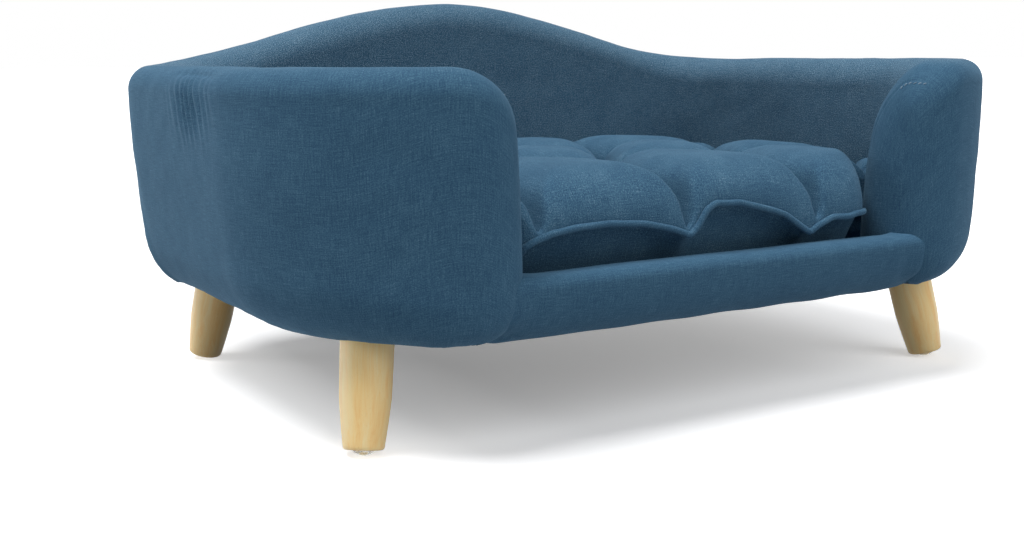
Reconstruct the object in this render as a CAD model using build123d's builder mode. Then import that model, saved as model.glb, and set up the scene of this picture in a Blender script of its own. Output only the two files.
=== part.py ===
from build123d import *

import os
from collections import namedtuple
from math import asin, atan2, cos, degrees, hypot, pi, radians, sin, sqrt

os.makedirs("parts", exist_ok=True)

# Overall sizes in millimetres: X is the width, Y runs from front to back, Z is up
overall_width = 768.35
overall_depth = 552.45
overall_height = 355.6
arm_height = 292.5
ground_clearance = 82.0
wall_thickness = 72.0
front_corner_radius = 186.0
back_corner_radius = 165.0
arm_end_inset = 144.175

# Shape of the padded wall in section
top_roll_radius = 28.0
bottom_roll_radius = 55.0
belly_drop = 37.5
side_tuck = 8.0
front_tuck = 3.0
back_tuck = 12.5
arm_end_drop = 26.0
hump_reach = 345.0
hump_fullness_share = 0.8

# Layers of the wall, from the outside in
cover_thickness = 1.2
layer_gap = 0.2
soft_gap = 0.7
inner_foam_thickness = 16.0
board_thickness = 12.0
roll_foam_thickness = 30.0
padding_reach = 44.0
hem_reach = 62.0

# Seat deck and base frame
deck_height = 113.0
deck_thickness = 12.0
batten_width = 38.0
deck_cloth_thickness = 0.8
dust_cover_thickness = 0.8
dust_cover_overlap = 12.0

# Front rail
rail_top = 137.0
rail_setback = 8.0
rail_top_radius = 10.0
rail_top_foam = 4.0
rail_back_lap = 10.0

# Legs: the seat is the centre of the leg's top face, the splay is how far the foot stands out from it
leg_inset_x = 91.475
leg_inset_y = 99.625
leg_seat_height = 90.0
leg_splay_x = 14.3
leg_splay_y = 17.9
leg_top_radius = 21.0
leg_foot_radius = 16.0
leg_hole_clearance = 1.0
bolt_radius = 4.0
running_clearance = 0.05
washer_thickness = 1.5
washer_radius = 11.0
bolt_depth_in_leg = 32.0
glide_radius = 9.0
glide_drop = 4.5
glide_flat = 0.4

# Loose cushion
cushion_clearance = 2.0
piping_radius = 2.8
cushion_crown = 217.0
cushion_seam_height = 160.0
cushion_front_setback = 28.0
cushion_corner_radius = 22.0
tuft_pitch = 143.0
tuft_row_spacing = 120.0
tuft_shift = 36.0
first_tuft_row = 146.0
valley_depth = 17.0
dimple_radius = 19.0
dimple_depth = 20.0
tie_radius = 1.1
tie_clearance = 0.2
tie_knot_radius = 3.0
tie_knot_height = 1.4
cushion_rest_gap = 0.3

# Values that follow from the sizes above
half_width = overall_width / 2
half_depth = overall_depth / 2
half_wall = wall_thickness / 2
back_line = half_depth - half_wall
side_line = half_width - half_wall
arm_end_x = half_width - arm_end_inset
back_bend = back_corner_radius - half_wall
back_bend_x = half_width - back_corner_radius
back_bend_y = half_depth - back_corner_radius
front_bend = front_corner_radius - half_wall
front_bend_x = half_width - front_corner_radius
end_angle = asin((arm_end_x - front_bend_x) / front_bend)
front_bend_y = front_bend * cos(end_angle) - (half_depth - half_wall)
arm_end_y = -(half_depth - half_wall)
end_heading = 180 - degrees(end_angle)
hump_rise = overall_height - arm_height
belly_top = arm_height - belly_drop
padding_skin = cover_thickness + soft_gap
board_inner = -(half_wall - padding_skin - inner_foam_thickness - soft_gap)
board_outer = board_inner + board_thickness
deck_bottom = deck_height - deck_thickness
cloth_top = deck_height + layer_gap + deck_cloth_thickness
batten_bottom = ground_clearance + cover_thickness + layer_gap
rail_face = -(half_depth - rail_setback)
rail_board_back = front_bend_y - front_bend - board_outer - layer_gap

Station = namedtuple("Station", "x y heading top tuck curl squeeze")


def hump(x):
    """Height that the back's camel hump adds over the arms at a distance x from the middle."""
    if abs(x) >= hump_reach:
        return 0
    return hump_rise * ((1 + cos(pi * x / hump_reach)) / 2) ** hump_fullness_share


def section_plane(station):
    """Upright plane across the wall, its X pointing out of the sofa and its Y up."""
    turn = radians(station.heading)
    return Plane(
        origin=(station.x, station.y, 0),
        x_dir=(sin(turn), cos(turn), 0),
        z_dir=(cos(turn), -sin(turn), 0),
    )


def arc(centre_u, centre_z, radius, start, end):
    """Start, middle and end of an arc in the section, its angles in degrees."""
    return [
        (centre_u + radius * cos(radians(a)), centre_z + radius * sin(radians(a)))
        for a in (start, (start + end) / 2, end)
    ]


def outside_strokes(station, skin, reach):
    """From the crown of the top roll, out, down and under to the hem, a skin inside the fabric."""
    belly = min(belly_top, station.top - belly_drop)
    face_height = belly - ground_clearance - bottom_roll_radius
    face_radius = (face_height**2 + station.tuck**2) / (2 * station.tuck)
    face_u = half_wall - face_radius
    roll_u = face_u + sqrt((face_radius - bottom_roll_radius) ** 2 - face_height**2)
    roll_z = ground_clearance + bottom_roll_radius
    lean = degrees(atan2(face_height, roll_u - face_u))
    top_u = half_wall - top_roll_radius
    top_z = station.top - top_roll_radius
    return [
        arc(top_u, top_z, top_roll_radius - skin, 90, 0),
        [(half_wall - skin, top_z), (half_wall - skin, belly)],
        arc(face_u, belly, face_radius - skin, 0, -lean),
        arc(roll_u, roll_z, bottom_roll_radius - skin, -lean, -90),
        [(roll_u, ground_clearance + skin), (-reach, ground_clearance + skin)],
    ]


def crown_strokes(station, skin):
    """Over the top roll, from the inner face to where the outside begins."""
    top_u = half_wall - top_roll_radius
    top_z = station.top - top_roll_radius
    return [
        arc(-top_u, top_z, top_roll_radius - skin, 180, 90),
        [(-top_u, station.top - skin), (top_u, station.top - skin)],
    ]


def backwards(strokes):
    return [stroke[::-1] for stroke in strokes[::-1]]


def closed(strokes):
    """Join the strokes' ends with straight edges."""
    joined = []
    for stroke, following in zip(strokes, strokes[1:] + strokes[:1]):
        joined.append(stroke)
        gap = hypot(following[0][0] - stroke[-1][0], following[0][1] - stroke[-1][1])
        if gap > layer_gap / 2:
            joined.append([stroke[-1], following[0]])
    return joined


def outer_cover_profile(station):
    reach = half_wall + (hem_reach - half_wall) * station.curl
    outside = crown_strokes(station, 0) + outside_strokes(station, 0, reach)
    inside = crown_strokes(station, cover_thickness) + outside_strokes(station, cover_thickness, reach)
    return closed(outside + backwards(inside))


def inner_cover_profile(station):
    top_z = station.top - top_roll_radius - layer_gap
    face = -half_wall
    return closed([
        [(face, cloth_top), (face, top_z)],
        [(face + cover_thickness, top_z), (face + cover_thickness, cloth_top)],
    ])


def outer_padding_profile(station):
    reach = half_wall - padding_skin + (padding_reach - half_wall + padding_skin) * station.curl
    outside = outside_strokes(station, padding_skin, reach)
    split = station.top - roll_foam_thickness
    outside[1][0] = (half_wall - padding_skin, split)
    return closed(outside[1:] + [
        [(-reach, deck_bottom - layer_gap), (board_outer + soft_gap, deck_bottom - layer_gap)],
        [(board_outer + soft_gap, split)],
    ])


def inner_padding_profile(station):
    split = station.top - roll_foam_thickness + soft_gap
    inner = -(half_wall - padding_skin)
    top_arc = outside_strokes(station, padding_skin, 0)[0]
    return closed([[(inner, deck_height + layer_gap)]] + crown_strokes(station, padding_skin) + [
        top_arc,
        [(half_wall - padding_skin, split)],
        [(board_inner - soft_gap, split), (board_inner - soft_gap, deck_height + layer_gap)],
    ])


def arm_end_profile(station):
    reach = half_wall - padding_skin
    return closed(crown_strokes(station, padding_skin) + outside_strokes(station, padding_skin, reach))


def wall_loft(stations, profile):
    """A layer of the wall, lofted through its profile at each station."""
    with BuildPart() as layer:
        for station in stations:
            with BuildSketch(section_plane(station)):
                with BuildLine():
                    for stroke in profile(station):
                        points = [(u * station.squeeze, z) for u, z in stroke]
                        if len(points) == 3:
                            ThreePointArc(*points)
                        elif len(points) == 2:
                            Line(*points)
                make_face()
        loft()
    return layer.part


def shares(count):
    return [step / count for step in range(count + 1)]


def mirrored(stations):
    return [s._replace(x=-s.x, heading=-s.heading) for s in reversed(stations)]


# Stations along the middle of the wall, on the right-hand side seen from the front
straight_steps = 6
corner_steps = 6
side_steps = 6
bend_steps = 6
tip_angles = (24, 44, 61, 75)

back_half = [
    Station(back_bend_x * share, back_line, 0, arm_height + hump(back_bend_x * share), back_tuck, 1, 1)
    for share in shares(straight_steps)
]
for share in shares(corner_steps)[1:]:
    corner_x = back_bend_x + back_bend * sin(radians(90 * share))
    corner_y = back_bend_y + back_bend * cos(radians(90 * share))
    corner_tuck = back_tuck + (side_tuck - back_tuck) * share
    back_half.append(Station(corner_x, corner_y, 90 * share, arm_height + hump(corner_x), corner_tuck, 1, 1))

arm_stations = [
    Station(side_line, back_bend_y + (front_bend_y - back_bend_y) * share, 90, arm_height, side_tuck, 1, 1)
    for share in shares(side_steps)
]
for share in shares(bend_steps)[1:]:
    heading = 90 + (end_heading - 90) * share
    arm_stations.append(Station(
        front_bend_x + front_bend * sin(radians(heading)),
        front_bend_y + front_bend * cos(radians(heading)),
        heading, arm_height, side_tuck + (front_tuck - side_tuck) * share, 1 - share, 1,
    ))


def tip_station(angle, radius):
    """Section of the rounded arm end, at an angle round the end's upright axis."""
    turn = radians(end_heading)
    forward = radius * sin(radians(angle))
    return Station(
        arm_end_x + forward * cos(turn), arm_end_y - forward * sin(turn), end_heading,
        arm_height - arm_end_drop * (1 - cos(radians(angle))), front_tuck, 0, cos(radians(angle)),
    )


back_stations = mirrored(back_half)[:-1] + back_half
cover_tip = [tip_station(angle, half_wall) for angle in tip_angles]
padding_tip = [tip_station(angle, half_wall - padding_skin) for angle in tip_angles]


def finish(part, name):
    """Label a finished piece and write it as its own file."""
    part.label = name
    export_step(part, f"parts/{name}.step")


def finish_pair(part, name):
    """Write a right-hand piece and its mirror image on the left."""
    finish(part, f"{name}_right")
    with BuildPart() as left:
        mirror(part, about=Plane.YZ)
    finish(left.part, f"{name}_left")


# Legs: each turns about its own splayed axis, given here for the right-hand back leg
leg_seat = Vector(half_width - leg_inset_x, half_depth - leg_inset_y, leg_seat_height)
leg_foot = leg_seat + Vector(leg_splay_x, leg_splay_y, -leg_seat_height)
leg_corners = {
    "back_right": (1, 1),
    "back_left": (-1, 1),
    "front_right": (1, -1),
    "front_left": (-1, -1),
}
leg_vector = leg_foot - leg_seat
leg_tilt_cosine = leg_seat_height / leg_vector.length
glide_sphere_radius = (glide_radius**2 + glide_drop**2) / (2 * glide_drop)
glide_centre_height = glide_sphere_radius - glide_flat
leg_length = (leg_seat_height - glide_centre_height) / leg_tilt_cosine + glide_sphere_radius - glide_drop


def leg_frame(side_x, side_y):
    """Plane through a leg's axis: its X leaves the axis and its Y runs down it from the leg's seat."""
    origin = Vector(leg_seat.X * side_x, leg_seat.Y * side_y, leg_seat.Z)
    down = Vector(leg_vector.X * side_x, leg_vector.Y * side_y, leg_vector.Z).normalized()
    outward = Vector(down.Y, -down.X, 0).normalized()
    return Plane(origin=origin, x_dir=outward, z_dir=outward.cross(down))


def leg_axis(side_x, side_y):
    frame = leg_frame(side_x, side_y)
    return Axis(frame.origin, frame.y_dir)


def leg_bore(radius):
    """Four round bars along the leg axes, from well below the body up to the deck's underside."""
    with BuildPart() as bars:
        for corner in leg_corners.values():
            frame = leg_frame(*corner)
            with BuildSketch(Plane(origin=frame.origin, z_dir=-frame.y_dir)):
                Circle(radius)
            extrude(amount=leg_seat_height, both=True)
        split(bisect_by=Plane.XY.offset(deck_bottom), keep=Keep.BOTTOM)
    return bars.part


leg_holes = leg_bore(leg_top_radius + leg_hole_clearance + 2 * layer_gap)

# Screws: upright ones hold the wall boards to the deck, level ones hold the rail, short ones the battens
screw_radius = 1.9
screw_head_radius = 4.0
screw_head_height = 2.6
screw_head_land = 0.4
board_screw_length = 32.0
rail_screw_length = 34.0
batten_screw_length = 24.0
pilot_clearance = 0.1
board_middle = (board_inner + board_outer) / 2
back_screw_heading = 45.0
front_screw_heading = 125.0
end_screw_angle = 12.0
back_screw_share = 0.75
side_screw_shares = (0.15, 0.85)
rail_screw_share = 0.74
batten_screw_share = 0.6
upright = Vector(0, 0, 1)


def screw_plane(x, y, z, direction):
    return Plane(origin=(x, y, z), z_dir=direction)


def bend_point(centre_x, centre_y, radius, heading):
    turn = radians(heading)
    return centre_x + radius * sin(turn), centre_y + radius * cos(turn)


def screw_shape(plane, length, extra):
    """Countersunk screw with its head's flat on the plane, driven along the plane's Z."""
    side = Plane(origin=plane.origin, x_dir=plane.x_dir, z_dir=plane.x_dir.cross(plane.z_dir))
    with BuildPart() as screw:
        with BuildSketch(side):
            with BuildLine():
                Polyline(
                    (0, -extra), (screw_head_radius + extra, -extra),
                    (screw_head_radius + extra, screw_head_land), (screw_radius + extra, screw_head_height),
                    (screw_radius + extra, length - 2 * screw_radius), (0, length + extra), close=True,
                )
            make_face()
        revolve(axis=Axis(plane.origin, plane.z_dir))
    return screw.part


board_screw_places = []
for side in (-1, 1):
    bend_back = bend_point(back_bend_x, back_bend_y, back_bend + board_middle, back_screw_heading)
    bend_front = bend_point(front_bend_x, front_bend_y, front_bend + board_middle, front_screw_heading)
    end_place = bend_point(front_bend_x, front_bend_y, front_bend + board_middle, end_heading - end_screw_angle)
    board_screw_places += [
        (side * back_bend_x * back_screw_share, back_line + board_middle),
        (side * bend_back[0], bend_back[1]),
        (side * bend_front[0], bend_front[1]),
        (side * end_place[0], end_place[1]),
    ] + [
        (side * (side_line + board_middle), front_bend_y + (back_bend_y - front_bend_y) * share)
        for share in side_screw_shares
    ]
board_screw_places.append((0, back_line + board_middle))

batten_side_x = half_width - half_wall - padding_reach - layer_gap - batten_width / 2
batten_back_y = half_depth - half_wall - padding_reach - layer_gap - batten_width / 2
batten_front_y = -batten_back_y
batten_length_x = 2 * (back_bend_x - layer_gap)
batten_length_y = back_bend_y - front_bend_y - 2 * layer_gap
batten_side_y = (back_bend_y + front_bend_y) / 2
batten_screw_x = batten_length_x / 2 * batten_screw_share
batten_screw_y = batten_length_y / 2 * batten_screw_share
rail_half_length = arm_end_x - half_wall - layer_gap

screws = [
    (screw_plane(x, y, deck_bottom, upright), board_screw_length) for x, y in board_screw_places
] + [
    (screw_plane(x, batten_y, batten_bottom, upright), batten_screw_length)
    for batten_y in (batten_front_y, batten_back_y)
    for x in (-batten_screw_x, 0, batten_screw_x)
] + [
    (screw_plane(side * batten_side_x, batten_side_y + end * batten_screw_y, batten_bottom, upright),
     batten_screw_length)
    for side in (-1, 1)
    for end in (-1, 1)
] + [
    (screw_plane(x, rail_board_back - board_thickness, deck_height - deck_thickness / 2, Vector(0, 1, 0)),
     rail_screw_length)
    for x in (-rail_half_length * rail_screw_share, 0, rail_half_length * rail_screw_share)
]

with BuildPart() as frame_screws:
    for plane, length in screws:
        add(screw_shape(plane, length, 0))
finish(frame_screws.part, "frame_screws")

with BuildPart() as pilots:
    for plane, length in screws:
        add(screw_shape(plane, length, pilot_clearance))
pilot_holes = pilots.part


def rounded_plan(back_radius, front_radius, grow):
    """Half of a closed plan that follows the wall's middle line at a distance grow outside it."""
    back_y = back_line + grow
    front_y = front_bend_y - front_radius
    side_x = side_line + grow
    Line((0, back_y), (back_bend_x, back_y))
    CenterArc((back_bend_x, back_bend_y), back_radius, 90, -90)
    Line((side_x, back_bend_y), (side_x, front_bend_y))
    CenterArc((front_bend_x, front_bend_y), front_radius, 0, -90)
    Line((front_bend_x, front_y), (0, front_y))


# Plywood seat deck, notched where the soft arm ends pass it
with BuildPart() as seat_deck:
    with BuildSketch(Plane.XY.offset(deck_bottom)):
        with BuildLine():
            rounded_plan(back_bend + board_outer, front_bend + board_outer, board_outer)
            mirror(about=Plane.YZ)
        make_face()
    extrude(amount=deck_thickness)
    for side in (-1, 1):
        along = Vector(side * cos(radians(end_heading)), -sin(radians(end_heading)), 0)
        with BuildSketch(Plane(origin=(side * arm_end_x, arm_end_y, deck_bottom), x_dir=along)):
            Rectangle(wall_thickness, wall_thickness + 2 * layer_gap, align=(Align.MIN, Align.CENTER))
        extrude(amount=deck_thickness, mode=Mode.SUBTRACT)
    add(pilot_holes, mode=Mode.SUBTRACT)
finish(seat_deck.part, "seat_deck")

# Wall boards: a flat back board cut to the hump, bent corners, flat sides and bent arm fronts
with BuildPart() as back_board:
    with BuildSketch(Plane.XZ.offset(-(back_line + board_outer))):
        with BuildLine():
            crest = [
                (x, arm_height + hump(x) - roll_foam_thickness)
                for x in [-back_bend_x + 2 * back_bend_x * share for share in shares(2 * straight_steps)]
            ]
            Spline(*crest)
            Line(crest[-1], (back_bend_x, deck_height))
            Line((back_bend_x, deck_height), (-back_bend_x, deck_height))
            Line((-back_bend_x, deck_height), crest[0])
        make_face()
    extrude(amount=board_thickness)
    add(pilot_holes, mode=Mode.SUBTRACT)
finish(back_board.part, "back_board")

corner_board_top = arm_height - roll_foam_thickness
bent_inner = back_bend + board_inner
with BuildPart() as corner_board:
    with BuildSketch(Plane.XY.offset(deck_height)):
        with BuildLine():
            CenterArc((back_bend_x, back_bend_y), bent_inner, 0, 90)
            CenterArc((back_bend_x, back_bend_y), bent_inner + board_thickness, 0, 90)
            Line((back_bend_x + bent_inner, back_bend_y), (side_line + board_outer, back_bend_y))
            Line((back_bend_x, back_bend_y + bent_inner), (back_bend_x, back_line + board_outer))
        make_face()
    extrude(amount=arm_height + hump(back_bend_x) - roll_foam_thickness - deck_height)
    with BuildSketch(Plane.XZ.offset(-back_bend_y)):
        with BuildLine():
            reach_x = side_line + board_outer - back_bend_x
            wall_share = back_bend / bent_inner
            bend_crest = [
                (
                    back_bend_x + reach_x * share,
                    arm_height + hump(back_bend_x + reach_x * share * wall_share) - roll_foam_thickness,
                )
                for share in shares(corner_steps)
            ]
            Spline(*bend_crest)
            Line(bend_crest[-1], (bend_crest[-1][0], overall_height))
            Line((bend_crest[-1][0], overall_height), (back_bend_x, overall_height))
            Line((back_bend_x, overall_height), bend_crest[0])
        make_face()
    extrude(amount=-back_corner_radius, mode=Mode.SUBTRACT)
    add(pilot_holes, mode=Mode.SUBTRACT)
finish_pair(corner_board.part, "corner_board")

with BuildPart() as arm_board:
    with BuildSketch(Plane.XY.offset(deck_height)):
        with BuildLine():
            Polyline(
                (side_line + board_inner, back_bend_y - layer_gap),
                (side_line + board_outer, back_bend_y - layer_gap),
                (side_line + board_outer, front_bend_y + layer_gap),
                (side_line + board_inner, front_bend_y + layer_gap), close=True,
            )
        make_face()
    extrude(amount=corner_board_top - deck_height)
    add(pilot_holes, mode=Mode.SUBTRACT)
finish_pair(arm_board.part, "arm_board")

arm_front_start = bend_point(front_bend_x, front_bend_y, front_bend + board_inner, end_heading)
arm_front_end = bend_point(front_bend_x, front_bend_y, front_bend + board_outer, end_heading)
with BuildPart() as arm_front_board:
    with BuildSketch(Plane.XY.offset(deck_height)):
        with BuildLine():
            bend_centre = (front_bend_x, front_bend_y)
            CenterArc(bend_centre, front_bend + board_inner, 0, 90 - end_heading)
            CenterArc(bend_centre, front_bend + board_outer, 0, 90 - end_heading)
            Line((side_line + board_inner, front_bend_y), (side_line + board_outer, front_bend_y))
            Line(arm_front_start, arm_front_end)
        make_face()
    extrude(amount=corner_board_top - deck_height)
    add(pilot_holes, mode=Mode.SUBTRACT)
finish_pair(arm_front_board.part, "arm_front_board")

# Battens under the deck
batten_height = deck_bottom - batten_bottom
for name, x, y, length_x, length_y in (
    ("base_batten_front", 0, batten_front_y, batten_length_x, batten_width),
    ("base_batten_back", 0, batten_back_y, batten_length_x, batten_width),
    ("base_batten_left", -batten_side_x, batten_side_y, batten_width, batten_length_y),
    ("base_batten_right", batten_side_x, batten_side_y, batten_width, batten_length_y),
    ("base_batten_middle", 0, 0, batten_width, batten_back_y - batten_front_y - batten_width - 2 * layer_gap),
):
    with BuildPart() as batten:
        with BuildSketch(Plane.XY.offset(batten_bottom)):
            with Locations((x, y)):
                Rectangle(length_x, length_y)
        extrude(amount=batten_height)
        add(pilot_holes, mode=Mode.SUBTRACT)
    finish(batten.part, name)

# Padding and covers of the wall
with BuildPart() as back_outer_padding:
    add(wall_loft(back_stations, outer_padding_profile))
    add(leg_holes, mode=Mode.SUBTRACT)
finish(back_outer_padding.part, "back_outer_padding")

finish(wall_loft(back_stations, inner_padding_profile), "back_inner_padding")

with BuildPart() as arm_outer_padding:
    add(wall_loft(arm_stations, outer_padding_profile))
    add(leg_holes, mode=Mode.SUBTRACT)
finish_pair(arm_outer_padding.part, "arm_outer_padding")

finish_pair(wall_loft(arm_stations, inner_padding_profile), "arm_inner_padding")
finish_pair(wall_loft([arm_stations[-1]] + padding_tip, arm_end_profile), "arm_end_padding")

with BuildPart() as outer_cover:
    add(wall_loft(back_stations, outer_cover_profile))
    arm_cover = wall_loft(arm_stations + cover_tip, outer_cover_profile)
    add(arm_cover)
    mirror(arm_cover, about=Plane.YZ)
    add(leg_holes, mode=Mode.SUBTRACT)
finish(outer_cover.part, "outer_cover")

with BuildPart() as inner_cover:
    add(wall_loft(back_stations, inner_cover_profile))
    arm_lining = wall_loft(arm_stations + cover_tip, inner_cover_profile)
    add(arm_lining)
    mirror(arm_lining, about=Plane.YZ)
finish(inner_cover.part, "inner_cover")

# Front rail: a board screwed to the deck's edge, with padding and its own cover
rail_board_front = rail_board_back - board_thickness
with BuildPart() as rail_board:
    with BuildSketch(Plane.XY.offset(deck_bottom)):
        with Locations((0, (rail_board_back + rail_board_front) / 2)):
            Rectangle(2 * rail_half_length, board_thickness)
    extrude(amount=rail_top - rail_top_foam - padding_skin - deck_bottom)
    add(pilot_holes, mode=Mode.SUBTRACT)
finish(rail_board.part, "rail_board")


def rail_strokes(skin, reach):
    """Over the rail's top, down its face and under, with Y read along the section."""
    roll = rail_top - rail_top_radius - ground_clearance
    face = rail_face
    quarter = [
        arc(face + rail_top_radius, rail_top - rail_top_radius, rail_top_radius - skin, 90, 180),
        arc(face + roll, rail_top - rail_top_radius, roll - skin, 180, 270),
    ]
    return [
        [(rail_board_back, rail_top - skin), (face + rail_top_radius, rail_top - skin)],
        quarter[0],
        quarter[1],
        [(face + roll, ground_clearance + skin), (reach, ground_clearance + skin)],
    ]


def rail_extrusion(strokes):
    """Run a rail section between the arms, hollowed at its ends to fit round them."""
    with BuildPart() as rail:
        with BuildSketch(Plane.YZ.offset(-arm_end_x)):
            with BuildLine():
                for stroke in closed(strokes):
                    if len(stroke) == 3:
                        ThreePointArc(*stroke)
                    elif len(stroke) == 2:
                        Line(*stroke)
            make_face()
        extrude(amount=2 * arm_end_x)
        with BuildSketch():
            with Locations((-arm_end_x, arm_end_y), (arm_end_x, arm_end_y)):
                Circle(half_wall + layer_gap)
        extrude(amount=overall_height, mode=Mode.SUBTRACT)
        with BuildSketch():
            with Locations((-arm_end_x, arm_end_y), (arm_end_x, arm_end_y)):
                Rectangle(wall_thickness, 2 * wall_thickness)
        extrude(amount=overall_height, mode=Mode.SUBTRACT)
    return rail.part


rail_hem = batten_front_y - batten_width / 2 - layer_gap
finish(rail_extrusion(rail_strokes(padding_skin, rail_hem) + [
    [(rail_hem, deck_bottom - layer_gap), (rail_board_front - layer_gap, deck_bottom - layer_gap)],
    [(rail_board_front - layer_gap, rail_top - rail_top_foam - padding_skin + layer_gap)],
    [(rail_board_back, rail_top - rail_top_foam - padding_skin + layer_gap)],
]), "rail_padding")
rail_fold = rail_hem + rail_back_lap
finish(rail_extrusion(
    rail_strokes(0, rail_fold) + backwards(rail_strokes(cover_thickness, rail_fold))
), "rail_cover")

# Fabric over the deck, and the dust cover stapled under the base
lining_radius_back = back_bend - half_wall - layer_gap
lining_radius_front = front_bend - half_wall - layer_gap
with BuildPart() as deck_cloth:
    with BuildSketch(Plane.XY.offset(deck_height + layer_gap)):
        with BuildLine():
            rounded_plan(lining_radius_back, lining_radius_front, -half_wall - layer_gap)
            mirror(about=Plane.YZ)
        make_face()
        lining_front = front_bend_y - lining_radius_front
        with Locations((0, rail_board_back + layer_gap)):
            Rectangle(
                2 * (rail_half_length - layer_gap), lining_front - rail_board_back + half_wall,
                align=(Align.CENTER, Align.MIN),
            )
    extrude(amount=deck_cloth_thickness)
finish(deck_cloth.part, "deck_cloth")

dust_grow = dust_cover_overlap - hem_reach
dust_top = ground_clearance - layer_gap
with BuildPart() as dust_cover:
    with BuildSketch(Plane.XY.offset(dust_top - dust_cover_thickness)):
        with BuildLine():
            rounded_plan(back_bend + dust_grow, front_bend + dust_grow, dust_grow)
            mirror(about=Plane.YZ)
        make_face()
    extrude(amount=dust_cover_thickness)
    add(leg_holes, mode=Mode.SUBTRACT)
finish(dust_cover.part, "dust_cover")

staple_crown = 10.0
staple_wire = 0.9
staple_pitch = 50.0
staple_inset = 7.0
staple_count_x = int(2 * back_bend_x / staple_pitch) + 1
staple_count_y = int(batten_length_y / staple_pitch) + 1
staple_z = dust_top - dust_cover_thickness - staple_wire
staple_back = back_line + dust_grow - staple_inset
staple_front = front_bend_y - front_bend - dust_grow + staple_inset
staple_side = side_line + dust_grow - staple_inset
with BuildPart() as cover_staples:
    with BuildSketch(Plane.XY.offset(staple_z)):
        for y in (staple_front, staple_back):
            with Locations((0, y)):
                with GridLocations(staple_pitch, staple_pitch, staple_count_x, 1):
                    Rectangle(staple_crown, staple_wire)
        for x in (-staple_side, staple_side):
            with Locations((x, batten_side_y)):
                with GridLocations(staple_pitch, staple_pitch, 1, staple_count_y):
                    Rectangle(staple_wire, staple_crown)
    extrude(amount=staple_wire)
finish(cover_staples.part, "cover_staples")

# Leg mounts, inserts and legs: all turned about the leg's axis, read as radius and distance down
mount_radius = 22.0
insert_radius = 6.0
insert_length = 8.0
washer_gap = 0.05
mount_clearance = 0.05
bolt_reach = 9.6
leg_chamfer = 1.6
leg_land = 6.0
leg_belly_share = 0.55
leg_belly_radius = 20.3
screw_washer_clearance = 0.4
glide_stem_radius = 2.5
glide_stem_length = 9.0
mount_face = -(washer_thickness + 2 * washer_gap)


def turned(corner, outline, name):
    """Solid of revolution about a leg's axis from a list of lines and arcs."""
    with BuildPart() as piece:
        with BuildSketch(leg_frame(*corner)):
            with BuildLine():
                for stroke in closed(outline):
                    if len(stroke) == 3:
                        ThreePointArc(*stroke)
                    elif len(stroke) == 2:
                        Line(*stroke)
            make_face()
        revolve(axis=leg_axis(*corner))
    if name:
        finish(piece.part, name)
    return piece.part


insert_bore = bolt_radius + running_clearance
insert_base = mount_face - insert_length
leg_inserts = []
for place, corner in leg_corners.items():
    frame = leg_frame(*corner)
    with BuildPart() as leg_mount:
        with BuildSketch(Plane(origin=frame.origin + frame.y_dir * mount_face, z_dir=-frame.y_dir)):
            Circle(mount_radius)
            Circle(insert_radius + mount_clearance, mode=Mode.SUBTRACT)
        extrude(amount=leg_seat_height)
        split(bisect_by=Plane.XY.offset(deck_bottom), keep=Keep.BOTTOM)
    finish(leg_mount.part, f"leg_mount_{place}")

    leg_inserts.append(turned(corner, [
        [(insert_bore, mount_face), (insert_radius, mount_face)],
        [(insert_radius, insert_base), (insert_bore, insert_base)],
    ], None))

    turned(corner, [
        [(bolt_radius + screw_washer_clearance, -washer_gap), (washer_radius, -washer_gap)],
        [(washer_radius, -washer_gap - washer_thickness),
         (bolt_radius + screw_washer_clearance, -washer_gap - washer_thickness)],
    ], f"leg_washer_{place}")

    turned(corner, [
        [(0, -bolt_reach), (bolt_radius, -bolt_reach)],
        [(bolt_radius, bolt_depth_in_leg), (0, bolt_depth_in_leg)],
    ], f"leg_bolt_{place}")

    belly_y = leg_length * leg_belly_share
    leg_face = leg_length + running_clearance
    bore_y = bolt_depth_in_leg + running_clearance
    stem_y = leg_length - glide_stem_length - running_clearance
    stem_radius = glide_stem_radius + running_clearance
    turned(corner, [
        [(insert_bore, 0), (leg_top_radius, 0)],
        [(leg_top_radius, leg_land)],
        [(leg_top_radius, leg_land), (leg_belly_radius, belly_y), (leg_foot_radius, leg_length - leg_chamfer)],
        [(leg_foot_radius - leg_chamfer, leg_length), (stem_radius, leg_length)],
        [(stem_radius, stem_y), (0, stem_y)],
        [(0, bore_y), (insert_bore, bore_y)],
    ], f"leg_{place}")

    dome_y = leg_length + glide_drop - glide_sphere_radius
    dome = arc(0, dome_y, glide_sphere_radius, degrees(asin((leg_face - dome_y) / glide_sphere_radius)), 90)
    glide = turned(corner, [
        [(0, leg_length - glide_stem_length), (glide_stem_radius, leg_length - glide_stem_length)],
        [(glide_stem_radius, leg_face), dome[0]],
        dome,
    ], None)
    with BuildPart() as leg_glide:
        add(glide)
        split(bisect_by=Plane.XY, keep=Keep.TOP)
    finish(leg_glide.part, f"leg_glide_{place}")

with BuildPart() as leg_insert_group:
    for insert in leg_inserts:
        add(insert)
finish(leg_insert_group.part, "leg_inserts")

# Loose cushion: a drawn-in pad with a piped seam, tufted in staggered rows
piping_room = 2 * piping_radius + layer_gap
cushion_bottom = cloth_top + cushion_rest_gap
seam_back = half_depth - wall_thickness - cushion_clearance - piping_room
seam_side = half_width - wall_thickness - cushion_clearance - piping_room
seam_front = half_depth - cushion_front_setback - piping_room
tip_room = half_wall + cushion_clearance + piping_room


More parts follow.
